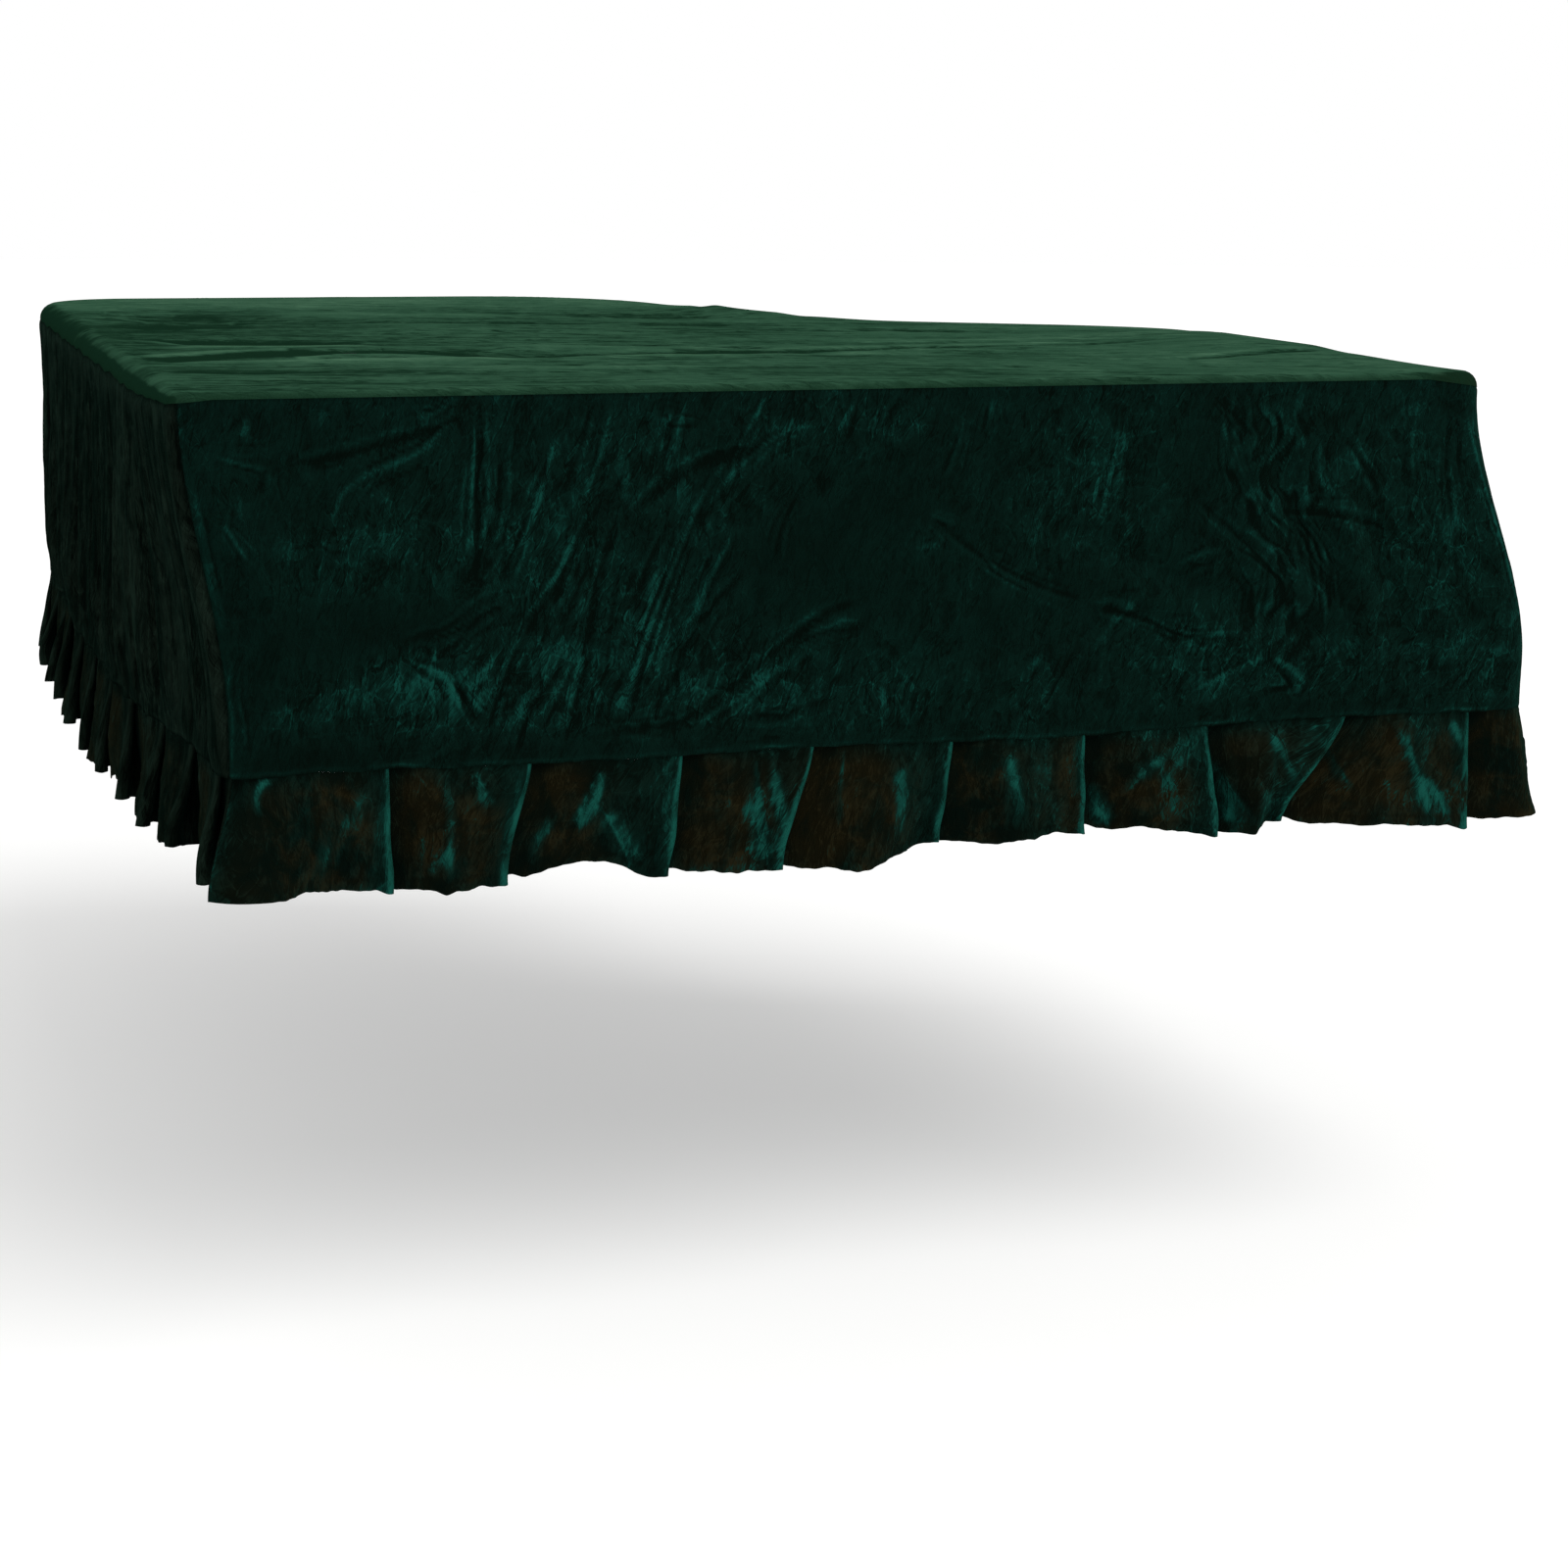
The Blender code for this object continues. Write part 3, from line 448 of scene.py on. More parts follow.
def line_bump(x, y, x0, y0, x1, y1, width, bow=0.0):
    """1 on the line between two points, soft across it and towards its ends."""
    length = math.hypot(x1 - x0, y1 - y0)
    way_x = (x1 - x0) / length
    way_y = (y1 - y0) / length
    part = ((x - x0) * way_x + (y - y0) * way_y) / length
    inside = np.clip(part, 0.0, 1.0)
    across = (y - y0) * way_x - (x - x0) * way_y - bow * 4 * inside * (1 - inside)
    past = (part - inside) * length
    ends = 0.35 + 0.65 * smooth(np.minimum(inside, 1 - inside) * 4)
    return ends * np.exp(-(across**2 + past**2) / width**2)


def bent_line(line):
    """A smooth line through a few points, in short straight parts."""
    points = np.array(line)
    if len(points) == 2:
        return points
    padded = np.vstack([2 * points[0] - points[1], points, 2 * points[-1] - points[-2]])
    fine = []
    for k in range(1, len(padded) - 2):
        a, b, c, d = padded[k - 1 : k + 3]
        for t in np.linspace(0, 1, 6, endpoint=False):
            square = 2 * a - 5 * b + 4 * c - d
            cube = 3 * b - a - 3 * c + d
            fine.append(0.5 * (2 * b + (c - a) * t + square * t**2 + cube * t**3))
    fine.append(points[-1])
    return np.array(fine)


def stroke_profile(x, y, stroke, stretch=1.0):
    """1 on a stroke's line and 1 along its left edge, both thinning out towards its ends."""
    line = bent_line(stroke.line) * np.array([1.0, stretch])
    y = y * stretch
    reach = 3 * stroke.width
    low = line.min(axis=0) - reach
    high = line.max(axis=0) + reach
    near = (x > low[0]) & (x < high[0]) & (y > low[1]) & (y < high[1])
    profile = np.zeros(x.shape)
    edge = np.zeros(x.shape)
    if not near.any():
        return profile, edge
    px = x[near]
    py = y[near]
    lengths = part_lengths(line)
    starts = running(lengths)
    best = np.full(px.shape, 1e9)
    where = np.zeros(px.shape)
    side = np.zeros(px.shape)
    for (ax, ay), (bx, by), length, start in zip(line, line[1:], lengths, starts):
        part = np.clip(((px - ax) * (bx - ax) + (py - ay) * (by - ay)) / length**2, 0, 1)
        across = px - ax - part * (bx - ax)
        away = np.hypot(across, py - ay - part * (by - ay))
        closer = away < best
        best = np.where(closer, away, best)
        side = np.where(closer, np.copysign(away, across), side)
        where = np.where(closer, start + part * length, where)
    end = starts[-1]
    ends = 0.15 + 0.85 * smooth(np.minimum(where, end - where) / (0.18 * end))
    width = stroke.width * (0.5 + 0.5 * ends)
    profile[near] = ends * bump(best, width)
    edge[near] = ends * bump(side / width + 1.5, 0.6)
    return profile, edge


def drawn(x, y, strokes, stretch=1.0):
    """Height and light of strokes: each trough dark, with a thin lit edge on its left."""
    height = np.zeros(x.shape)
    light = np.zeros(x.shape)
    for stroke in strokes:
        profile, edge = stroke_profile(x, y, stroke, stretch)
        height += stroke.height * profile
        light += stroke.light * profile
        if stroke.light < 0:
            light -= 0.6 * stroke.light * edge
    return height, light


def bundled(strokes):
    """Strokes with two fainter, shorter lit and two dark ones beside each, as creases bundle."""
    bundle = list(strokes)
    for k, stroke in enumerate(strokes):
        line = bent_line(stroke.line)
        walked = running(part_lengths(line))
        run = line[-1] - line[0]
        aside = np.array([-run[1], run[0]]) / np.linalg.norm(run)
        for way, light in ((-1, 0.42), (1, -0.50), (1.9, 0.34), (-1.9, -0.36)):
            turn = 2.4 * k + 1.3 * way
            first = 0.04 + 0.30 * abs(math.sin(1.7 * turn))
            last = 0.62 + 0.34 * abs(math.cos(1.1 * turn))
            points = []
            for share in np.linspace(first, last, 4):
                point = [np.interp(share * walked[-1], walked, line[:, axis]) for axis in (0, 1)]
                away = way * (0.0065 + 0.0035 * math.sin(turn)) * (0.6 + 0.9 * share)
                points.append(tuple(np.array(point) + aside * away))
            bundle.append(Stroke(tuple(points), 0.0006 * math.copysign(1, light), 0.0020, light))
    return bundle


def patched(x, y, patches):
    """The sum of soft oval patches."""
    total = np.zeros(x.shape)
    for patch in patches:
        away = ((x - patch.along) / patch.reach_along) ** 2 + ((y - patch.down) / patch.reach_down) ** 2
        total += patch.strength * np.exp(-(away**1.5))
    return total


def flared(x, y, flares):
    """Painted highlight (painted shade where negative) in fans, which open downwards from a point, crisp on
    their right.
    """
    total = np.zeros(x.shape)
    for flare in flares:
        share = (y - flare.top) / (flare.bottom - flare.top)
        inside = smooth(share / 0.15) * (1 - smooth((share - 0.80) / 0.30))
        share = np.clip(share, 0, 1.2)
        middle = flare.top_x + (flare.bottom_x - flare.top_x) * share
        away = (x - middle) / (0.0022 + flare.spread * share)
        rays = 0.85 + 0.75 * noise(away * 2.2 + 31 * flare.top_x, share * 1.3, 107)
        away = np.where(away > 0.4, 0.4 + 3.0 * (away - 0.4), away)
        total += flare.light * inside * np.exp(-(away**2)) * np.clip(rays, 0.1, 1.4)
    return total


def top_height(x, y):
    """Height of the top's middle surface over the plan."""
    height = TAIL_RISE * np.clip(y / LENGTH, 0.0, 1.2) ** 1.3
    for fold in TOP_FOLDS:
        height = height + fold.height * line_bump(x, y, *fold[:4], fold.width)
    return height


SEAT_HEIGHT = float(top_height(np.array(SEAT_X), np.array(SEAT_Y))) - CLOTH / 2
FLOOR = -LID_HEIGHT - SEAT_HEIGHT


def rolled(along):
    """Radius of the roll at the rim, uneven along the spine."""
    around = np.mod(along, RIM.length)
    spine = smooth((around - TAIL_SEAM) / 0.2) * smooth((RIM.length - around) / 0.1)
    uneven = 0.0040 * spine * line_noise(around * 15, 131)
    return np.interp(around, [r.along for r in ROLLS], [r.radius for r in ROLLS]) + uneven


def rim_top(along):
    """Height of the top where its roll begins."""
    point = RIM.at(along) - RIM.normal(along) * rolled(along)[..., None]
    return top_height(point[..., 0], point[..., 1]) - SEAT_HEIGHT


def frill_seam(along):
    """Height of the seam between drop and frill."""
    sway = 0.004 * np.sin(along * 4.1 + 0.6) + 0.002 * np.sin(along * 11.0)
    uneven = 0.0020 * line_noise(along * 19, 141) + 0.0009 * line_noise(along * 61, 142)
    return -SEAT_HEIGHT - DROP_DEPTH + 0.004 * smooth(along / 1.5) + sway + uneven


def hem_height(along):
    sway = 0.003 * np.sin(along * 6.3 + 1.0) + 0.002 * np.sin(along * 15.0)
    return -SEAT_HEIGHT - DROP_DEPTH - FRILL_DEPTH + sway


def leaning(point, share):
    """How far the drops' leans move a plan point, at a share of their full depth."""
    x = point[..., 0]
    y = point[..., 1]
    moved = np.zeros_like(point)
    for lean in LEANS:
        near = np.exp(-(((x - lean.x) / lean.reach_x) ** 2) - ((y - lean.y) / lean.reach_y) ** 2)
        moved += (near * share)[..., None] * np.array([lean.move_x, lean.move_y])
    return moved


def gathers(along, down):
    """Waves that run down the drops, uneven in spacing and deeper towards the frill."""
    total = np.zeros(np.broadcast(along, down).shape)
    around = np.mod(along, RIM.length)
    for gather in GATHERS:
        inside = smooth((around - gather.start) / gather.fade)
        inside = inside * smooth((gather.end - around) / gather.fade)
        phase = 2 * math.pi * (around - gather.start) / gather.spacing
        phase = phase + 0.9 * np.sin(phase * 0.31) + 0.25 * np.sin(down * 9.0 + phase * 0.5)
        wave = np.sin(phase) + 0.35 * np.sin(2.3 * phase + 1.0)
        total = total + gather.height * inside * wave * (0.15 + 0.85 * smooth(down / DROP_DEPTH))
    return total


def creases(along, down):
    """Troughs and ridges that cross the drops at a slant."""
    total = np.zeros(np.broadcast(along, down).shape)
    for crease in CREASES:
        total = total + crease.height * line_bump(along, down, *crease[:4], crease.width, crease.bow)
    return total


def held_by_seam(down):
    """The frill's seam holds the drop flatter than it hangs above."""
    return 1 - SEAM_HOLD * smooth((down - DROP_DEPTH + SEAM_REACH) / SEAM_REACH)


def in_place(plan, height):
    """Points in the cover's own frame, from plan points and heights."""
    return np.stack([plan[..., 0] - SEAT_X, plan[..., 1] - SEAT_Y, height], axis=-1)


def crushed(along, down, seed):
    """Height and light of the fine crushing of velvet, as sharp-edged uneven facets."""
    x = along + 0.011 * cloudy(along * 13, down * 13, seed)
    y = down + 0.011 * cloudy(along * 13, down * 13, seed + 5)
    facets = noise(x * 42 + y * 14, y * 17 - x * 5, seed + 10)
    threads = noise(x * 95 + y * 38, y * 24, seed + 20)
    crossing = noise(x * 60 - y * 45, y * 48 + x * 20, seed + 30)
    ridge = bump(facets, 0.16)
    fine = bump(threads, 0.20)
    height = 0.0006 * ridge + 0.0003 * fine + 0.0006 * facets + 0.0003 * crossing
    light = 0.45 * ridge + 0.30 * fine + 0.45 * facets + 0.3 * crossing - 0.35
    return height, light


def front_detail(along, down):
    """Height and light of the front drop's creases, patches of painted light and shade, and dense wrinkles."""
    height, light = drawn(along, down, bundled(STROKES))
    # Patches of painted light and shade, broken up by noise
    patchy_light = patched(along, down, PATCHES)
    patchy_light *= np.clip(1 + 0.7 * noise(along * 55 + down * 22, down * 15, 77), 0, 2)
    dense = bump(along - 1.255, 0.055) * smooth(down / 0.04) * (1 - smooth((down - 0.26) / 0.1))
    wander = 1.2 * np.sin(down * 19) + 2.2 * cloudy(along * 7, down * 9, 72)
    wavy = noise(along * 85 + wander, down * 15, 71)
    crisp = bump(wavy - 0.10, 0.12) - bump(wavy + 0.12, 0.14)
    height += dense * (0.0012 * wavy + 0.0006 * crisp)
    light += dense * (0.4 * wavy + 0.7 * crisp)
    rough, shine = crushed(along, down, 3)
    crush = np.clip(0.40 + 0.9 * patchy_light, 0.12, 1.2)
    return height + 0.75 * rough * crush, 1.3 * light + 0.36 * patchy_light + shine * crush * 0.36, crush


def upright_detail(along, down, seed, strength):
    """Height and light of the many fine upright folds of the drop along the spine."""
    fan = 0.10 * (down - 0.2) * line_noise(along * 4, seed + 1)
    x = along + (0.012 * cloudy(along * 5, down * 5, seed) + fan)
    wide = noise(x * 24, down * 2.2, seed + 2)
    narrow = noise(x * 58, down * 3.4, seed + 3)
    edge = bump(narrow, 0.22)
    fade = 0.25 + 0.75 * smooth(down / 0.16)
    height = strength * fade * (0.0030 * wide + 0.0012 * narrow)
    light = strength * (0.55 * wide + 0.35 * narrow + 0.35 * edge - 0.15)
    return height, light


def bent_detail(along, down):
    """Height and light of the bentside drop: soft upright folds and crushed patches."""
    upright, streaks = upright_detail(along, down, 41, 0.55)
    rough, shine = crushed(along, down, 13)
    patchy_light = cloudy(along * 4.5, down * 7, 57)
    strength = np.clip(0.6 + 0.6 * patchy_light, 0.15, 1.3)
    slant = np.zeros(along.shape)
    for k in range(26):
        start = RIGHT_SEAM + (TAIL_SEAM - RIGHT_SEAM) * (k + 0.5 + 0.4 * math.sin(k * 2.7)) / 26
        top = 0.03 + 0.16 * (0.5 + 0.5 * math.sin(k * 4.1))
        deep = min(0.38, top + 0.10 + 0.09 * math.sin(k * 1.9 + 1.0) + 0.04)
        drift = 0.07 * math.sin(k * 3.3)
        middle = (start + 0.6 * drift, 0.5 * (top + deep))
        side = -1.0 if k % 2 else 0.6
        stroke = Stroke(((start, top), middle, (start + drift, deep)), 0.003 * side, 0.006, side)
        profile, edge = stroke_profile(along, down, stroke)
        slant += side * profile - 0.5 * min(side, 0.0) * edge
    height = upright + rough * strength + 0.0028 * slant
    return height, 0.5 * streaks + 0.25 * patchy_light + shine * strength * 0.55 + 0.8 * slant, 0.8 * strength


def spine_detail(along, down):
    """Height and light of the drop along the spine."""
    upright, streaks = upright_detail(along, down, 23, 1.5)
    rough, shine = crushed(along, down * 0.45, 29)
    patchy_light = cloudy(along * 3.0, down * 3, 61)
    fine = bump(noise(along * 120 + 0.8 * patchy_light, down * 3.0, 63), 0.16)
    fan = along + 0.10 * (down - 0.15) * line_noise(along * 3, 65)
    broad = noise(fan * 9, down * 1.5, 67) + 0.6 * noise(fan * 19, down * 2.0, 69)
    dark = bump(noise(fan * 46, down * 2.4, 73) + 0.08, 0.08) * smooth(down / 0.05)
    light = 0.9 * streaks + 0.3 * shine + 0.25 * patchy_light + 0.6 * fine + 0.55 * broad - 0.9 * dark + 0.04
    # Painted highlight along the rim, and by the front left corner a line of painted shade with a lit one
    # beside it
    light += 0.9 * bump(down, 0.022)
    before_corner = RIM.length - along
    light -= 0.7 * bump(before_corner - 0.050 - 0.06 * down, 0.026) * smooth(down / 0.06)
    light += 0.5 * bump(before_corner - 0.105 - 0.10 * down, 0.020)
    return upright + rough * 0.5 + 0.0007 * fine + 0.0060 * broad, light, np.full(along.shape, 0.4)


DETAILS = {"front": front_detail, "bentside": bent_detail, "left": spine_detail}


def seam_pinch(distance):
    """How far a sewn seam pulls the cloth in, at a distance from it."""
    return 0.0011 * bump(distance, 0.0022) - 0.0007 * bump(distance - 0.005, 0.004)


def seam_light(distance):
    """Painted light by a seam: a line of painted shade in the seam, with a painted highlight just above it."""
    return 1.1 * bump(distance - 0.0035, 0.0024) - 0.9 * bump(distance, 0.0014)


def distance_from_ends(along):
    return np.minimum(along - along.min(), along.max() - along)


def held_detail(detail, down, from_ends):
    """The detail of a drop, calmed towards its rim, its ends and the frill's seam."""
    calm = smooth(down / 0.012) * (0.35 + 0.65 * smooth((DROP_DEPTH - down) / 0.03)) * smooth(from_ends / 0.010)
    return detail * calm


def edge_detail(side, along):
    """The detail of a drop at its lower edge, which the frill takes on."""
    down = np.full(along.shape, DROP_DEPTH)
    return held_detail(DETAILS[side](along, down)[0], down, distance_from_ends(along))


def drop_grid(side, along, share):
    """Middle surface of a drop with its detail, its painted light and shade, and how crushed it is."""
    top = rim_top(along) - rolled(along) - SEWN_GAP
    bottom = frill_seam(along)
    height = top + (bottom - top) * share
    down = share * DROP_DEPTH
    rim = RIM.at(along)
    near_rim = smooth(down / RIM_HOLD)
    fold = (gathers(along, down) + creases(along, down)) * near_rim * held_by_seam(down)
    detail, light, crush = DETAILS[side](along, down)
    from_ends = distance_from_ends(along)
    detail = held_detail(detail, down, from_ends)
    calm = smooth(down / 0.006) * smooth(from_ends / 0.006) * (0.6 + 0.4 * smooth((DROP_DEPTH - down) / 0.006))
    above_frill = DROP_DEPTH - down
    pulled = seam_pinch(above_frill) * 0.4 + seam_pinch(down) * 0.7 + seam_pinch(from_ends) * 0.8
    broken = np.clip(0.40 + 1.0 * line_noise(along * 19, 101), 0.0, 1.1)
    light = light * calm + broken * seam_light(above_frill) + 0.3 * seam_light(from_ends)
    plan = rim + leaning(rim, smooth(share / LEAN_DONE))
    plan = plan + RIM.normal(along) * (fold + detail - pulled)[..., None]
    return in_place(plan, height), light, crush


# A column of a frill: place and swing at the seam, place and swing at the hem, lift of the hem, its painted
# light (shade at the root and behind the fold, highlight at the fold's edge), how brown and flat it looks
# (flat-lying nap, and painted shade in the recess), and how tightly it folds
def pleat_columns(before, pleat, start):
    """Columns of one pleat, from the root under the fold before it to its own tuck."""
    a = before.fold
    b, drift, crest, root_swing, belly, lift, belly_lift = pleat
    pitch = LAYER_PITCH
    span = b - a
    root = a + before.drift + 0.012
    fold = b + drift
    width = fold - root
    low = 0.5 * (before.root + belly)
    rise = 0.5 * (belly_lift + lift)
    shoulder = min(0.020, 0.22 * width)
    side = 0.6 * belly + 0.2 * crest
    tucked = 0.4 * crest + 0.6 * root_swing - 0.004
    return ([] if start else tuck_columns(before)) + [
        (a + 0.006, -1.6 * pitch, root, before.root + 0.002, before.lift, -1.0, 0.7, 0.8),
        (a + 0.20 * span, -0.5 * pitch, root + 0.24 * width, low, 0.5 * belly_lift, -0.5, 1.0, 0.0),
        (a + 0.45 * span, -0.1 * pitch, root + 0.46 * width, belly, belly_lift, -0.3, 0.8, 0.0),
        (a + 0.70 * span, 0.0, root + 0.68 * width, side, rise, -0.2, 0.5, 0.0),
        (b - 0.014, 0.0, fold - shoulder, crest - 0.010, lift, 0.0, 0.1, 0.3),
        (b - 0.006, 0.0, fold - 0.6 * shoulder, crest - 0.003, lift, 0.2, 0.0, 0.7),
        (b - pitch / 2, 0.0, fold - 0.3 * shoulder, crest, lift, 1.8, 0.0, 1.0),
        (b, -pitch / 2, fold, crest - 0.007, lift, 1.1, 0.0, 1.0),
        (b - pitch / 2, -pitch, fold - 0.004, crest - 0.015, lift, -1.0, 0.0, 1.0),
        (b - TUCK, -pitch, fold - 0.020, tucked, lift, -1.0, 0.0, 1.0),
    ]


def tuck_columns(pleat):
    """Columns of the inner fold behind a pleat, where its cloth turns towards the next."""
    fold = pleat.fold + pleat.drift
    back = pleat.fold - TUCK
    # The inner fold lies hidden, in painted shade
    hidden = (pleat.lift, -1.0, 0.0, 1.0)
    return [
        (back - LAYER_PITCH / 2, -1.5 * LAYER_PITCH, fold - 0.026, pleat.root - 0.005, *hidden),
        (back, -2 * LAYER_PITCH, fold - 0.018, pleat.root - 0.010, *hidden),
    ]


def frill_columns(first, last, pleats, swing_first, swing_last):
    """Columns of a whole frill from its first seam to its last."""
    before = Pleat(first, 0.0, swing_first, swing_first, swing_first, 0.0, 0.0)
    seam = (0.0, 0.2, 0.2, 0.6)
    columns = [(first, -LAYER_PITCH, first, swing_first, *seam)]
    for k, pleat in enumerate(pleats):
        columns += pleat_columns(before, pleat, k == 0)
        before = pleat
    columns += tuck_columns(before)
    fold = before.fold + before.drift
    # The last pleat's root, in painted shade
    root = (before.fold + 0.004, -1.9 * LAYER_PITCH, fold + 0.012, before.root)
    columns.append((*root, before.lift, -1.0, 0.3, 0.8))
    columns.append((last, -LAYER_PITCH, last, swing_last, *seam))
    return np.array(columns)


def plain_pleats(first, last, crest, belly):
    """Evenly set pleats with uneven swings between two seams."""
    count = round((last - first) / PLEAT_SPACING)
    spacing = (last - first) / count
    pleats = []
    for k in range(1, count + 1):
        turn = first + 2.4 * k
        pleat = Pleat(
            fold=first + spacing * k - 0.030 + 0.006 * math.sin(3.1 * turn),
            drift=-0.010 + 0.014 * math.sin(1.7 * turn),
            crest=crest * (1 + 0.2 * math.sin(2.3 * turn)),
            root=0.006 * math.sin(1.3 * turn),
            belly=belly * (1 + 0.35 * math.sin(0.9 * turn + 1.0)),
            lift=0.004 * math.sin(2.9 * turn),
            belly_lift=0.005 * math.sin(1.9 * turn),
        )
        pleats.append(pleat)
    return pleats


def opened(share):
    """How far a pleat has opened at a share of the frill's depth."""
    return smooth(0.08 + 0.92 * share) * 0.75 + 0.25 * share - smooth(0.08) * 0.75 * (1 - share)


def smooth_through(knots, values, at):
    """Values on a smooth curve through knots, which never overshoots them."""
    step = np.diff(knots)[:, None]
    slope = np.diff(values, axis=0) / step
    before = slope[:-1]
    after = slope[1:]
    same_way = before * after > 0
    inner = np.where(same_way, 2 * before * after / np.where(same_way, before + after, 1.0), 0.0)
    tangents = np.vstack([slope[:1], inner, slope[-1:]])
    k = np.clip(np.searchsorted(knots, at, side="right") - 1, 0, len(knots) - 2)
    t = ((at - knots[k]) / (knots[k + 1] - knots[k]))[:, None]
    rise = (values[k + 1] - values[k]) * (3 * t**2 - 2 * t**3)
    bend = step[k] * ((t**3 - 2 * t**2 + t) * tangents[k] + (t**3 - t**2) * tangents[k + 1])
    return values[k] + rise + bend


def fine_columns(columns, spacing):
    """The frill's columns on a smooth curve, close together where the cloth shows."""
    moves = np.diff(columns, axis=0)
    at_seam = np.hypot(moves[:, 0], moves[:, 1])
    at_hem = np.hypot(moves[:, 2], moves[:, 3])
    lengths = np.maximum(0.5 * (at_seam + at_hem), 0.001)
    knots = running(lengths)
    hidden = (columns[:-1, 7] > 0.9) & (columns[1:, 7] > 0.9) & (lengths > 0.012)
    places = [0.0]
    for start, length, tucked in zip(knots, lengths, hidden):
        count = max(3, math.ceil(length / (spacing * (3 if tucked else 1))))
        places.extend(start + length * i / count for i in range(1, count + 1))
    return smooth_through(knots, columns, np.array(places))


def grid_normals(grid):
    """Unit normals of a grid of points, out of the cloth's face."""
    normals = np.cross(np.gradient(grid, axis=1), -np.gradient(grid, axis=0))
    return normals / np.maximum(np.linalg.norm(normals, axis=2, keepdims=True), 1e-12)


def frill_grid(columns, rows, side):
    """Middle surface of a frill with its detail, its painted light and shade, and how brown it is."""
    share = np.linspace(0.0, 1.0, rows + 1)[:, None]
    open_share = opened(share)
    along = columns[:, 0] + (columns[:, 2] - columns[:, 0]) * open_share
    swing = columns[:, 1] + (columns[:, 3] - columns[:, 1]) * open_share
    light, brown, tight = (columns[:, k] + 0 * share for k in (5, 6, 7))
    from_ends = np.minimum(columns[:, 0] - columns[0, 0], columns[-1, 0] - columns[:, 0])
    inner = smooth(from_ends / 0.05) * share
    along = along + 0.006 * inner * noise(along * 6, share * 2.2, 99)
    swing = swing + 0.009 * inner * noise(along * 8, share * 1.6, 98)
    light = light * np.clip(0.75 + 0.7 * noise(along * 9, share * 3.5, 96), 0.25, 1.4)
    top = frill_seam(along) - SEWN_GAP
    ragged = 0.0048 * line_noise(along * 24, 85) + 0.0022 * line_noise(along * 77, 86)
    height = top + (hem_height(along) + columns[:, 4] + ragged * inner - top) * share
    rim = RIM.at(along)
    fold = (gathers(along, DROP_DEPTH) + creases(along, DROP_DEPTH)) * held_by_seam(DROP_DEPTH)
    fold = fold * (1 - 0.5 * share) + edge_detail(side, columns[:, 0]) * (1 - 0.85 * share)
    plan = rim + leaning(rim, 1.0 + 0.2 * share) + RIM.normal(along) * (fold + swing)[..., None]
    grid = in_place(plan, height)
    loose = np.clip(1 - 1.2 * tight, 0, 1)
    share = share + 0 * along
    pucker = noise(along * 75 + 0.6 * np.sin(along * 40), share * 2.2, 81)
    flute = noise(along * 17, share * 0.8, 83)
    line = noise(along * 52 + share * 2.6, share * 1.7, 97)
    line = bump(line - 0.05, 0.11) - 0.8 * bump(line + 0.12, 0.13)
    rough, shine = crushed(along, share * FRILL_DEPTH, 91)
    detail = 0.0016 * pucker * np.exp(-share / 0.25) + 0.0060 * flute * share**1.5 + 0.8 * rough + 0.0009 * line
    shade = 0.5 * pucker * np.exp(-share / 0.3) + 0.35 * flute + 0.4 * shine + 0.45 * line
    shade += 0.5 * cloudy(along * 14, share * 1.6, 87)
    brown = brown * smooth(share / 0.2) * (0.8 + 0.5 * cloudy(along * 19, share * 1.4, 95))
    if side == "front":
        # On the front, streaks and flares of painted highlight, and brown patches kept out of them
        folds, streaks = drawn(along, share, FRILL_STROKES, FRILL_DEPTH)
        lit = flared(along, share, FRILL_FLARES)
        detail += folds
        shade += streaks * 2.0 + lit
        brown = (brown * 0.6 + patched(along, share, FRILL_BROWN)) * (1 - np.clip(streaks + lit, 0, 1))
    hem = (1 - share) * FRILL_DEPTH
    # A painted highlight at the hem's edge, and lines of painted shade above it and at the seam
    shade = shade + 0.5 * bump(hem - 0.0015, 0.0015) - 0.4 * bump(hem - 0.011, 0.002)
    shade -= 0.3 * bump(share * FRILL_DEPTH, 0.004)
    detail = detail * loose * smooth(share / 0.05) * smooth(from_ends / 0.03)
    grid = grid + grid_normals(grid) * detail[..., None]
    return grid, light + shade * (0.25 + 0.75 * loose), np.clip(brown, 0, 1)


def spaced(start, end, spacing):
    """Places between two ends, in a whole number of the steps that the back of the cloth takes."""
    count = BACK_STEP * max(1, round((end - start) / spacing / BACK_STEP))
    return np.linspace(start, end, count + 1)


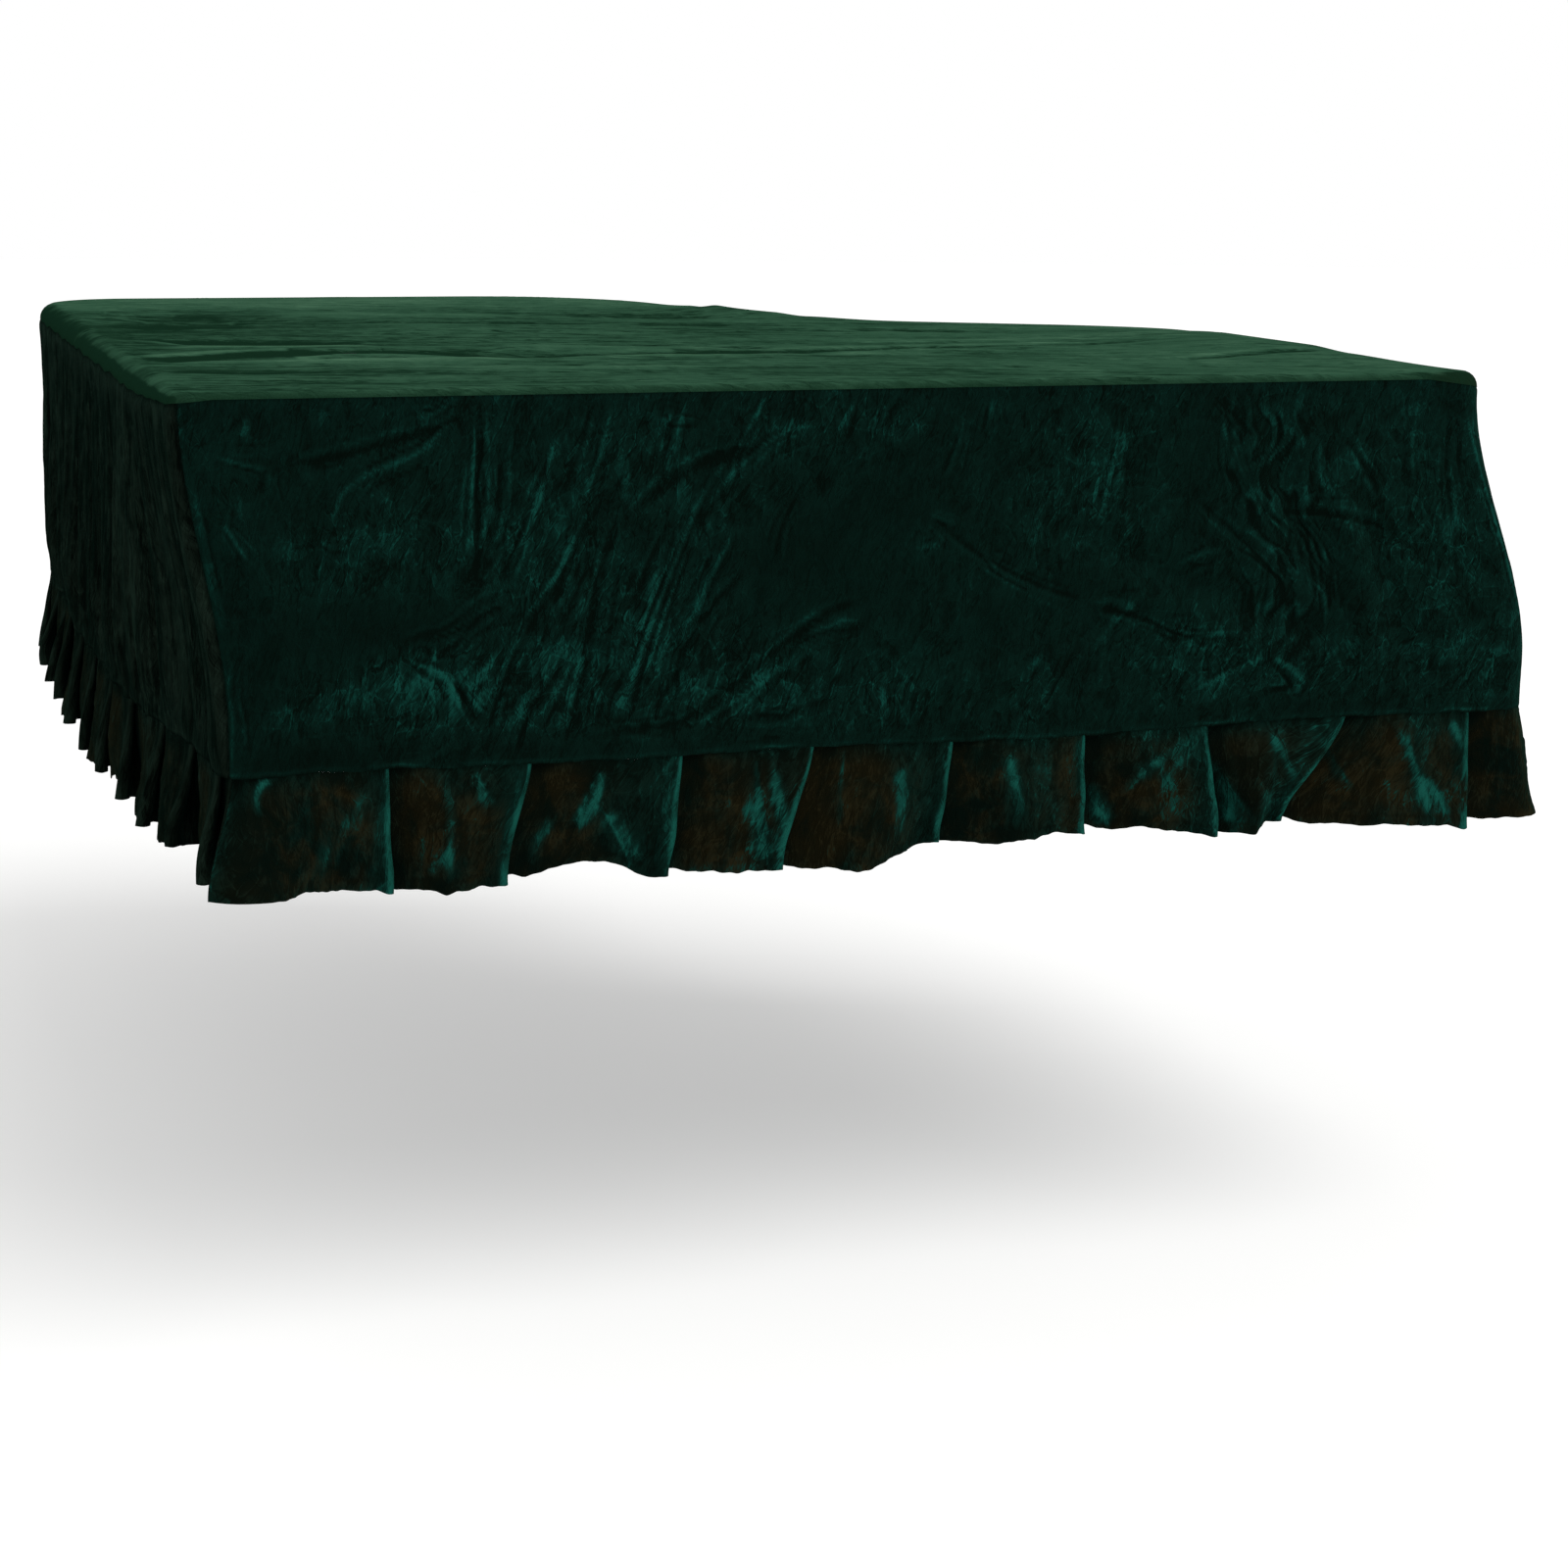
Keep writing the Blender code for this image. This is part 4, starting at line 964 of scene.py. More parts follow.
class Sheet:
    """Points, faces and values on the points of one sheet of cloth with a face and a back."""

    def __init__(self):
        self.points = []
        self.values = []
        self.faces = []
        self.backs = []
        self.count = 0

    def add_points(self, points, *values):
        """Adds points with their light, brown, crush and place on the cloth; gives their numbers."""
        first = self.count
        self.points.append(points.reshape(-1, 3))
        count = len(self.points[-1])
        self.values.append(np.column_stack([np.asarray(v, float).reshape(count, -1) for v in values]))
        self.count += count
        return np.arange(first, self.count).reshape(points.shape[:-1])

    def add_faces(self, faces, back=False):
        (self.backs if back else self.faces).extend(faces)

    def add_grid(self, numbers, back=False):
        a = numbers[:-1, :-1].ravel()
        b = numbers[1:, :-1].ravel()
        c = numbers[1:, 1:].ravel()
        d = numbers[:-1, 1:].ravel()
        corners = (d, c, b, a) if back else (a, b, c, d)
        self.add_faces(np.stack(corners, axis=1).tolist(), back)

    def join(self, face_edge, back_edge):
        """Closes the sheet along an edge, one face for each step of the back."""
        step = (len(face_edge) - 1) // (len(back_edge) - 1)
        for k in range(len(back_edge) - 1):
            front = face_edge[k * step : (k + 1) * step + 1].tolist()
            self.add_faces([front + [int(back_edge[k + 1]), int(back_edge[k])]])

    def to_object(self, name, materials):
        mesh = bpy.data.meshes.new(name)
        faces = self.faces + self.backs
        mesh.from_pydata(np.vstack(self.points).tolist(), [], faces)
        values = np.vstack(self.values).astype(np.float32)
        for k, key in enumerate(("light", "brown", "crush")):
            data = mesh.attributes.new(key, "FLOAT", "POINT").data
            data.foreach_set("value", values[:, k].copy())
        place = mesh.attributes.new("place", "FLOAT_VECTOR", "POINT")
        place.data.foreach_set("vector", values[:, 3:6].ravel())
        for material in materials:
            mesh.materials.append(material)
        back = np.zeros(len(faces), dtype=np.int32)
        back[len(self.faces) :] = 1
        mesh.polygons.foreach_set("material_index", back)
        mesh.shade_smooth()
        mesh.update()
        piece = bpy.data.objects.new(name, mesh)
        bpy.context.scene.collection.objects.link(piece)
        return piece


def sunk(grid, normals, behind, thickness, step):
    """How far each point of a coarser back must go in, so that no trough of the face cuts it."""
    rows, columns = grid.shape[:2]
    if step == 1:
        return np.zeros((rows, columns))
    short = np.zeros((rows, columns))
    for i in range(step):
        for j in range(step):
            u, v = i / step, j / step
            spread = (1 - u) * (1 - v) * behind[:-1, :-1] + u * (1 - v) * behind[1:, :-1]
            spread = spread + (1 - u) * v * behind[:-1, 1:] + u * v * behind[1:, 1:]
            face = (slice(i, rows - 1, step), slice(j, columns - 1, step))
            over = ((spread - grid[face]) * normals[face]).sum(axis=2) + BACK_CLEARANCE * thickness
            short[face] = np.maximum(over, 0.0)
    most = short.copy()
    for shift in range(1, step + 1):
        for axis in (0, 1):
            for way in (shift, -shift):
                most = np.maximum(most, np.roll(short, way, axis=axis))
        short = np.maximum(short, most)
    return np.minimum(most[::step, ::step], MOST_SUNK)


def hung_sheet(grid, thickness, values, step=BACK_STEP):
    """A closed sheet round a grid of middle points, with its back in coarser steps."""
    sheet = Sheet()
    normals = grid_normals(grid)
    face = sheet.add_points(grid + normals * thickness / 2, *values)
    behind = (grid - normals * thickness / 2)[::step, ::step]
    behind = behind - normals[::step, ::step] * sunk(grid, normals, behind, thickness, step)[..., None]
    back = sheet.add_points(behind, *(v[::step, ::step] for v in values))
    sheet.add_grid(face)
    sheet.add_grid(back, back=True)
    sheet.join(face[0][::-1], back[0][::-1])
    sheet.join(face[-1], back[-1])
    sheet.join(face[:, 0], back[:, 0])
    sheet.join(face[:, -1][::-1], back[:, -1][::-1])
    return sheet


def make_drop(side, sizes, materials):
    start, end = STRETCHES[side]
    wide, tall, _ = CELLS[side]
    along = spaced(start + SEWN_GAP / 2, end - SEWN_GAP / 2, sizes.drop_spacing * wide)
    down = spaced(0.0, DROP_DEPTH, sizes.drop_spacing * tall)
    along_grid, down_grid = np.meshgrid(along, down)
    grid, light, crush = drop_grid(side, along_grid, down_grid / DROP_DEPTH)
    brown = np.zeros(light.shape)
    sheet = hung_sheet(grid, sizes.thickness, (light, brown, crush, along_grid, down_grid, brown))
    return sheet.to_object(f"cloth_{side}_drop", materials)


def make_frill(side, pleats, swings, sizes, materials):
    start, end = STRETCHES[side]
    front = side == "front"
    columns = frill_columns(start + SEWN_GAP / 2, end - SEWN_GAP / 2, pleats, *swings)
    fine = fine_columns(columns, sizes.frill_spacing * (1 if front else 1.3))
    rows = round(FRILL_DEPTH / sizes.frill_spacing / (1 if front else 1.25))
    grid, light, brown = frill_grid(fine, rows, side)
    travel = running(np.hypot(np.diff(fine[:, 2]), np.diff(fine[:, 3])))
    along = start + travel + 0 * light
    down = DROP_DEPTH + np.linspace(0, FRILL_DEPTH, rows + 1)[:, None] + 0 * light
    values = (light, brown, 0.45 + 0 * light, along, down, 0 * light)
    sheet = hung_sheet(grid, 0.8 * sizes.thickness, values, step=1)
    return sheet.to_object(f"cloth_{side}_frill", materials)


def inner_points(ring, step):
    """Points in staggered rows across the plan, kept off the ring."""
    low = ring.min(axis=0)
    high = ring.max(axis=0)
    points = []
    ends = np.roll(ring, -1, axis=0)
    for k, y in enumerate(np.arange(low[1] + step * 0.7, high[1] - step * 0.4, step * 0.87)):
        crossing = (ring[:, 1] > y) != (ends[:, 1] > y)
        part = (y - ring[crossing, 1]) / (ends[crossing, 1] - ring[crossing, 1])
        xs = np.sort(ring[crossing, 0] + part * (ends[crossing, 0] - ring[crossing, 0]))
        row = np.arange(low[0] + step * (0.5 if k % 2 else 0.0), high[0], step)
        row = row[(row > xs[0] + step * 0.5) & (row < xs[-1] - step * 0.5)]
        points.append(np.column_stack([row, np.full(len(row), y)]))
    return np.vstack(points)


def filled(ring, step):
    """The plan inside a ring as triangles, with the ring's points first."""
    count = len(ring)
    flat = np.vstack([ring, inner_points(ring, step)])
    loop = [(k, (k + 1) % count) for k in range(count)]
    placed, _, triangles, *_ = delaunay_2d_cdt([Vector(p) for p in flat], loop, [list(range(count))], 1, 1e-7)
    return np.array([tuple(p) for p in placed]), np.array(triangles)


def top_detail(x, y):
    """Height of the top's creases and random streaks over the plan, and its painted light: shade in the troughs
    and highlight on the ridges, lighter towards the back and the right, darker at the left side and at the
    front right corner.
    """
    across = x * math.cos(0.34) - y * math.sin(0.34)
    deep = x * math.sin(0.34) + y * math.cos(0.34)
    sway = 0.02 * cloudy(across * 3, deep * 3, 111)
    streak = noise(across * 2.6, (deep + sway) * 21, 113)
    thin = noise(across * 5.5 + 3, (deep + sway) * 55, 115)
    blot = cloudy(across * 5, deep * 8, 117)
    folds, troughs = drawn(x, y, TOP_STROKES)
    light = 0.28 * streak + 0.22 * thin + 0.3 * blot + 1.5 * troughs + 0.06
    light += 0.95 * smooth((y - 1.25) / 0.4) + 0.45 * smooth((x - 0.8) / 0.6)
    light -= 0.45 * np.exp(-((x / 0.30) ** 2) - ((y - 1.1) / 0.50) ** 2)
    light -= 0.6 * np.exp(-(((x - WIDTH) / 0.060) ** 2) - (y / 0.060) ** 2)
    height = 0.0010 * streak + 0.0004 * thin + 0.0004 * blot
    return height + folds, light


def roll_rings(along):
    """Rings of the roll from the drops to the flat: middle points, tilts, places on the cloth."""
    normal = RIM.normal(along)
    radius = rolled(along)
    rings = []
    for k in range(ROLL_STEPS + 1):
        angle = math.pi / 2 * (1 - k / ROLL_STEPS)
        level = math.sin(angle)
        tilt = np.column_stack([normal * level, np.full(len(along), math.cos(angle))])
        plan = RIM.at(along) - normal * (radius * (1 - level))[:, None]
        height = rim_top(along) - radius * (1 - math.cos(angle))
        unrolled = RIM.at(along) + normal * (radius * (angle - 1))[:, None]
        rings.append((in_place(plan, height), tilt, unrolled))
    return rings


def roll_values(along, k, light):
    """Painted light and shade, brown and crush of the roll's ring k, with the flat's light at its edge. The
    roll is painted darker as it turns down to the drops, most along the back of the spine and at the front
    right corner, where brown stands in as painted shade.
    """
    left_side = smooth((along - TAIL_SEAM) / 0.2)
    forward = smooth((along - TAIL_SEAM - 0.55) / 0.6)
    corner = np.exp(-(((along - FRONT_RIGHT) / 0.090) ** 4))
    darker = 0.6 + left_side * (1.0 - forward) + 1.2 * corner
    turned = (1 - k / ROLL_STEPS) ** 0.7
    shade = 0.6 * (k / ROLL_STEPS) ** 2 * light - darker * turned + 0.08
    edge_on = smooth((turned - 0.55) / 0.25)
    shade -= left_side * forward * (1.2 * edge_on - 0.5 * (1 - edge_on) * turned)
    shade += 0.8 * left_side * turned**0.5 * noise(along * 17 + 1.2 * turned, turned * 1.5, 121)
    return shade, 0.45 * corner * turned**0.5, TOP_CRUSH - 0.8 * turned + 0 * along


def make_top(sizes, materials, rim):
    """The top panel, whose rim rolls down to the drops."""
    sheet = Sheet()
    half = sizes.thickness / 2
    edges = []
    for side, step, spacing in ((1, 1, sizes.top_spacing), (-1, BACK_STEP, sizes.top_spacing * 4)):
        along = rim[::step]
        count = len(along)
        rings = roll_rings(along)
        inner = rings[-1][0]
        placed, triangles = filled(inner[:, :2], spacing)
        x = placed[:, 0] + SEAT_X
        y = placed[:, 1] + SEAT_Y
        detail, light = top_detail(x, y)
        detail[:count] = 0
        height = top_height(x, y) - SEAT_HEIGHT + detail
        height[:count] = inner[:, 2]
        flat = np.column_stack([placed, height + side * half])
        zero = np.zeros(len(x))
        numbers = sheet.add_points(flat, light, zero, zero + TOP_CRUSH, x, y, zero)
        faces = numbers[triangles if side > 0 else triangles[:, ::-1]]
        sheet.add_faces(faces.tolist(), back=side < 0)
        loops = []
        for k, (middle, tilt, unrolled) in enumerate(rings[:-1]):
            values = roll_values(along, k, light[:count])
            loops.append(sheet.add_points(middle + tilt * side * half, *values, *unrolled.T, 0 * along))
        loops.append(numbers[:count])
        loops = [np.append(loop, loop[0]) for loop in loops]
        for outer, inside in zip(loops, loops[1:]):
            sheet.add_grid(np.stack([inside, outer]), back=side < 0)
        edges.append(loops[0])
    sheet.join(*edges)
    return sheet.to_object("cloth_top_panel", materials)


class Value:
    """A socket of numbers that takes part in Python expressions."""

    def __init__(self, nodes, socket):
        self.nodes = nodes
        self.socket = socket

    def _maths(self, operation, *terms):
        return self.nodes.add("ShaderNodeMath", {"operation": operation}, dict(enumerate(terms)))

    def __add__(self, other):
        return self._maths("ADD", self, other)

    def __radd__(self, other):
        return self._maths("ADD", other, self)

    def __sub__(self, other):
        return self._maths("SUBTRACT", self, other)

    def __rsub__(self, other):
        return self._maths("SUBTRACT", other, self)

    def __mul__(self, other):
        return self._maths("MULTIPLY", self, other)

    def __rmul__(self, other):
        return self._maths("MULTIPLY", other, self)

    def __abs__(self):
        return self._maths("ABSOLUTE", self)


class Nodes:
    """The nodes of one material."""

    def __init__(self, material):
        material.use_nodes = True
        self.tree = material.node_tree
        self.tree.nodes.clear()

    def add(self, kind, settings=None, sockets=None, out=0):
        """A node of a kind, its settings made first, then its sockets' values or links."""
        node = self.tree.nodes.new(kind)
        for key, value in (settings or {}).items():
            setattr(node, key, value)
        for key, value in (sockets or {}).items():
            socket = next(s for k, s in enumerate(node.inputs) if key in (k, s.identifier))
            if isinstance(value, Value):
                self.tree.links.new(value.socket, socket)
            else:
                socket.default_value = value
        if not node.outputs:
            return None
        return Value(self, node.outputs[out])

    def attribute(self, name, out="Fac"):
        return self.add("ShaderNodeAttribute", {"attribute_name": name}, out=out)

    def noise(self, place, scale, detail=2.0, roughness=0.5, distortion=0.0, out="Fac"):
        sockets = {"Vector": place, "Scale": scale, "Detail": detail, "Roughness": roughness}
        sockets["Distortion"] = distortion
        return self.add("ShaderNodeTexNoise", {"noise_dimensions": "2D"}, sockets, out)

    def cells(self, place, out, **settings):
        """Uneven cells, by their colours or by the distance from their edges."""
        settings |= {"voronoi_dimensions": "2D"}
        return self.add("ShaderNodeTexVoronoi", settings, {"Vector": place, "Scale": 1.0}, out)

    def stretched(self, place, scale, turn=0.0):
        sockets = {"Vector": place, "Rotation": (0.0, 0.0, turn), "Scale": scale}
        return self.add("ShaderNodeMapping", {"vector_type": "TEXTURE"}, sockets)

    def between(self, value, low, high):
        """0 below low and 1 above high, smooth between them."""
        sockets = {"Value": value, "From Min": low, "From Max": high}
        return self.add("ShaderNodeMapRange", {"interpolation_type": "SMOOTHSTEP"}, sockets)

    def blend(self, share, first, second):
        """A colour between two, by a share."""
        sockets = {"Factor_Float": share, "A_Color": first, "B_Color": second}
        return self.add("ShaderNodeMix", {"data_type": "RGBA"}, sockets, 2)

    def moved(self, place, by, amount):
        """Places moved by a colour's values, as much as an amount."""
        centred = self.add("ShaderNodeVectorMath", {"operation": "SUBTRACT"}, {0: by, 1: (0.5, 0.5, 0.5)})
        small = self.add("ShaderNodeVectorMath", {"operation": "SCALE"}, {0: centred, "Scale": amount})
        return self.add("ShaderNodeVectorMath", {"operation": "ADD"}, {0: place, 1: small})

    def relief(self, height, strength, distance):
        sockets = {"Strength": strength, "Distance": distance, "Height": height}
        return self.add("ShaderNodeBump", sockets=sockets, out="Normal")

    def surface(self, sockets):
        """A shader with these sockets, as the material's surface."""
        shader = self.add("ShaderNodeBsdfPrincipled", sockets=sockets)
        self.add("ShaderNodeOutputMaterial", sockets={"Surface": shader})


def scaled(colour, factor):
    """A colour made darker or lighter, and still opaque."""
    return (*(factor * c for c in colour[:3]), 1.0)


Velvet = namedtuple(
    "Velvet", "name dark middle lit brown sheen sheen_tint streak_turn streak_scale contrast grain"
)

# Networks of creased lines in the pile, each a painted highlight beside a line of painted shade: their size
# across and down, lean and strength
LINE_NETWORKS = ((1.9, 3.0, 0.08, 1.0), (0.9, 1.7, 0.30, 0.8), (1.3, 2.0, -0.50, 0.7))


def velvet(finish):
    """Crushed velvet: random streaks and facets of the pile, crease lines of painted highlight and shade, and
    the cloth's painted light, which picks the dark, middle and lit tones. Brown shows only where that light is
    low, as painted shade.
    """
    material = bpy.data.materials.new(finish.name)
    nodes = Nodes(material)
    place = nodes.attribute("place", "Vector")
    light = nodes.attribute("light")
    brown = nodes.attribute("brown")
    width, length = finish.streak_scale
    turn = finish.streak_turn
    swirled = nodes.moved(place, nodes.noise(place, 24.0, 3.0, out="Color"), 0.016)
    streaks = nodes.noise(nodes.stretched(swirled, (width, length, 1.0), turn), 1.0, 4.0, 0.62)
    finer = (width * 0.34, length * 0.30, 1.0)
    threads = nodes.noise(nodes.stretched(swirled, finer, turn + 0.25), 1.0, 3.0, 0.6)
    gathered = nodes.moved(place, nodes.noise(place, 13.0, 2.0, out="Color"), 0.020)
    blots = nodes.noise(place, 30.0, 4.0, 0.65, 0.4)
    clouds = nodes.noise(place, 5.0, 3.0, 0.5) - 0.5
    pile = nodes.noise(place, 620.0, 3.0, 0.7) - 0.5
    facets = (streaks - 0.5) * 1.2 + (threads - 0.5) * 0.9 + (blots - 0.5) * 1.6
    cells = nodes.stretched(swirled, (width * 1.9, length * 0.9, 1.0), turn + 0.12)
    tone = nodes.add("ShaderNodeSeparateColor", sockets={"Color": nodes.cells(cells, "Color")})
    rim = nodes.cells(cells, "Distance", feature="DISTANCE_TO_EDGE")
    facets = facets + (tone - 0.5) * 0.42 + (1.0 - nodes.between(rim, 0.0, 0.07)) * 0.30 - 0.05
    for across, down, lean, amount in LINE_NETWORKS:
        stretch = (width * across, length * down, 1.0)
        lines = nodes.noise(nodes.stretched(gathered, stretch, turn + lean), 1.0, 2.0, 0.5) - 0.5
        lit_edge = 1.0 - nodes.between(abs(lines - 0.036), 0.0, 0.024)
        dark_edge = 1.0 - nodes.between(abs(lines), 0.0, 0.030)
        facets = facets + (lit_edge * 0.42 - dark_edge * 0.46) * amount
    strength = nodes.between(nodes.attribute("crush") + clouds * 1.2, -0.3, 1.0) * 1.1 + 0.15
    # Painted light: the cloth's light, with clouds and facets, picks the velvet's dark, middle and lit tones
    shine = light * 0.52 + clouds * 0.45 + facets * strength * finish.contrast + pile * finish.grain - 0.04
    colour = nodes.blend(nodes.between(shine, -0.50, 0.18), finish.dark, finish.middle)
    colour = nodes.blend(nodes.between(shine, 0.05, 1.10), colour, finish.lit)
    # Brown where the painted light is low: flat-lying nap, and painted shade
    shaded_brown = brown * nodes.between(blots + clouds, 0.09, 0.66) * (1.0 - nodes.between(shine, 0.05, 0.6))
    # The brown darker where the facets and painted light are low: painted shade
    umber = scaled(finish.brown, 0.5)
    umber = nodes.blend(nodes.between(facets + light * 0.4, -0.4, 0.4), umber, finish.brown)
    colour = nodes.blend(shaded_brown, colour, umber)
    normal = nodes.relief(facets * 0.6 + pile * 0.25, 0.7, 0.0016)
    rough = 0.85 - 0.20 * nodes.between(shine, -0.1, 0.8)
    sockets = {"Base Color": colour, "Roughness": rough, "Normal": normal, "Specular IOR Level": 0.0}
    sockets |= {"Sheen Weight": finish.sheen, "Sheen Roughness": 0.35, "Sheen Tint": finish.sheen_tint}
    nodes.surface(sockets)
    return material


def backing(colour):
    """The velvet's knitted back: dull, with fine ribs."""
    material = bpy.data.materials.new("velvet_back")
    nodes = Nodes(material)
    place = nodes.attribute("place", "Vector")
    ribs = nodes.noise(nodes.stretched(place, (0.0012, 0.006, 1.0)), 1.0, 2.0)
    clouds = nodes.noise(place, 18.0, 3.0)
    share = nodes.between(ribs * 0.7 + clouds * 0.3, 0.35, 0.65)
    tone = nodes.blend(share, scaled(colour, 0.55), colour)
    normal = nodes.relief(ribs, 0.5, 0.0008)
    sockets = {"Base Color": tone, "Roughness": 0.90 - 0.08 * ribs, "Normal": normal}
    nodes.surface(sockets | {"Specular IOR Level": 0.02})
    return material


def paper(colour):
    """Pale studio floor with a faint unevenness."""
    material = bpy.data.materials.new("studio_floor")
    nodes = Nodes(material)
    place = nodes.add("ShaderNodeTexCoord", out="Object")
    tone = nodes.noise(place, 1.4, 3.0)
    mixed = nodes.blend(nodes.between(tone, 0.3, 0.7), scaled(colour, 0.985), colour)
    sockets = {"Base Color": mixed, "Roughness": 0.9 - 0.05 * tone, "Specular IOR Level": 0.1}
    sockets |= {"Emission Color": (1.0, 1.0, 1.0, 1.0), "Emission Strength": 0.42}
    nodes.surface(sockets)
    return material


def colour_property(name, description, *default):
    values = {"default": (*default, 1.0), "size": 4, "min": 0.0, "max": 1.0, "subtype": "COLOR"}
    return FloatVectorProperty(name=name, description=description, **values)


def length_property(name, description, default, low, high):
    limits = {"min": low, "max": high, "unit": "LENGTH"}
    return FloatProperty(name=name, description=description, default=default, **limits)


def strength_property(name, description, default, high):
    return FloatProperty(name=name, description=description, default=default, min=0.0, max=high)


class CoverSizes(bpy.types.PropertyGroup):
    thickness: length_property("Thickness", "Thickness of the velvet", 0.0018, 0.0005, 0.003)
    top_spacing: length_property("Top spacing", "Distance between points of the top", 0.0068, 0.004, 0.05)
    drop_spacing: length_property("Drop spacing", "Distance between points of the drops", 0.0028, 0.002, 0.05)
    frill_spacing: length_property("Frill spacing", "The same for the frills", 0.0034, 0.002, 0.03)


class VelvetColours(bpy.types.PropertyGroup):
    # The drops' dark and lit tones are painted shade and painted highlight of one velvet
    dark: colour_property("Dark", "Drops where the pile leans away from the light", 0.0014, 0.0036, 0.0025)
    middle: colour_property("Middle", "Velvet of the drops", 0.0021, 0.0100, 0.0073)
    lit: colour_property("Lit", "Drops where the pile takes the light", 0.0046, 0.0490, 0.0375)
    # The top's tones are the same velvet painted lighter, as it looks lit from above at a grazing view: painted
    # light
    top_dark: colour_property("Top, dark", "Troughs of the top", 0.0052, 0.0205, 0.0102)
    top_middle: colour_property("Top", "Velvet of the top", 0.0235, 0.0700, 0.0395)
    top_lit: colour_property("Top, lit", "Brushed streaks of the top", 0.0550, 0.1290, 0.0760)
    # The spine side's tone is the velvet painted greyer, as velvet looks at a grazing view: painted sheen
    spine: colour_property("Spine side", "Velvet along the spine, a little greyer", 0.0038, 0.0072, 0.0050)
    # Brown: flat-lying nap of the frill, and painted shade in its recesses and on the roll at the front right
    # corner
    brown: colour_property("Brown", "Thin flat places of the frill", 0.0120, 0.0103, 0.0044)
    back: colour_property("Back", "Knitted back of the velvet", 0.0100, 0.0200, 0.0150)


class StudioLight(bpy.types.PropertyGroup):
    floor: colour_property("Floor", "Studio floor", 0.62, 0.62, 0.61)
    sky: strength_property("Surround", "Strength of the even light all round", 0.62, 5.0)
    backdrop: strength_property("Backdrop", "Brightness of the backdrop", 1.0, 5.0)
    window: strength_property("Window", "Strength of the soft light from the front right", 2.0, 20.0)


def finishes(colours):
    """The velvets of the cover, by the record's slots."""
    tint = (0.10, 0.60, 0.44, 1.0)
    keys = ("dark", "middle", "lit", "brown", "spine", "top_dark", "top_middle", "top_lit")
    dark, middle, lit, brown, spine, *top = (getattr(colours, key)[:] for key in keys)
    # The spine's greyer copy of the velvet, with a darker and a lit tone: painted sheen, with painted shade and
    # highlight
    spine_lit = (*(2.2 * a + 0.02 * b for a, b in zip(spine[:3], lit)), 1.0)
    along_spine = (scaled(spine, 0.3), spine, spine_lit)
    # The frill's lit tone is painted brighter: painted highlight
    bright = scaled(lit, 1.30)
    rows = (
        Velvet("velvet_drop", dark, middle, lit, brown, 0.06, tint, 0.24, (0.0080, 0.028), 0.62, 0.16),
        Velvet("velvet_spine", *along_spine, brown, 0.02, tint, 0.0, (0.0050, 0.080), 1.35, 0.22),
        Velvet("velvet_frill", dark, middle, bright, brown, 0.06, tint, 0.12, (0.0080, 0.030), 0.62, 0.16),
        Velvet("velvet_top", *top, brown, 0.01, tint, -0.34, (0.150, 0.013), 0.55, 0.30),
    )
    return {row.name: row for row in rows}


def cloth_materials(slot, side=None):
    """The face's and the back's material, each made once. The spine's side has its own, painted greyer: painted
    sheen.
    """
    name = "velvet_spine" if side == "left" else slot
    colours = bpy.context.scene.velvet_colours
    face = bpy.data.materials.get(name + "_face")
    if face is None:
        face = velvet(finishes(colours)[name])
        face.name = name + "_face"
    back = bpy.data.materials.get("velvet_back") or backing(colours.back[:])
    return [face, back]


def settle(piece, node):
    """Hangs a piece of cloth on the root body and hides the CAD part it stands for."""
    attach(piece, "root")
    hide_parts(node)


def drop_places(sizes):
    """Places round the rim for the top's rolled edge, one stretch for each drop."""
    parts = []
    for side, (start, end) in STRETCHES.items():
        parts.append(spaced(start, end, sizes.drop_spacing * CELLS[side][2])[:-1])
    return np.concatenate(parts)


class COVER_OT_top_panel(bpy.types.Operator):
    """Makes the top panel, cut to the piano's plan, with its rim rolled over"""

    bl_idname = "cover.top_panel"
    bl_label = "Top Panel"

    def execute(self, context):
        sizes = context.scene.cover_sizes
        piece = make_top(sizes, cloth_materials("velvet_top"), drop_places(sizes))
        settle(piece, "top_panel")
        return {"FINISHED"}


class COVER_OT_drops(bpy.types.Operator):
    """Makes the three drops that hang from the top's rim"""

    bl_idname = "cover.drops"
    bl_label = "Drops"

    def execute(self, context):
        sizes = context.scene.cover_sizes
        for side, cut in (("front", 1.67), ("bentside", 2.66), ("left", 1.74)):
            piece = make_drop(side, sizes, cloth_materials("velvet_drop", side))
            settle(piece, side + "_drop")
        return {"FINISHED"}


class COVER_OT_frills(bpy.types.Operator):
    """Makes the three knife-pleated frills under the drops"""

    bl_idname = "cover.frills"
    bl_label = "Frills"

    def execute(self, context):
        sizes = context.scene.cover_sizes
        bend_pleats = plain_pleats(*STRETCHES["bentside"], 0.044, 0.028)
        left_pleats = plain_pleats(*STRETCHES["left"], 0.028, 0.014)
        rows = (
            ("front", FRONT_PLEATS, "left", "right", 2.85),
            ("bentside", bend_pleats, "right", "tail", 4.64),
            ("left", left_pleats, "tail", "left", 2.93),
        )
        for side, pleats, first, last, cut in rows:
            swings = (CORNER_SWING[first], CORNER_SWING[last])
            piece = make_frill(side, pleats, swings, sizes, cloth_materials("velvet_frill", side))
            settle(piece, side + "_frill")
        return {"FINISHED"}


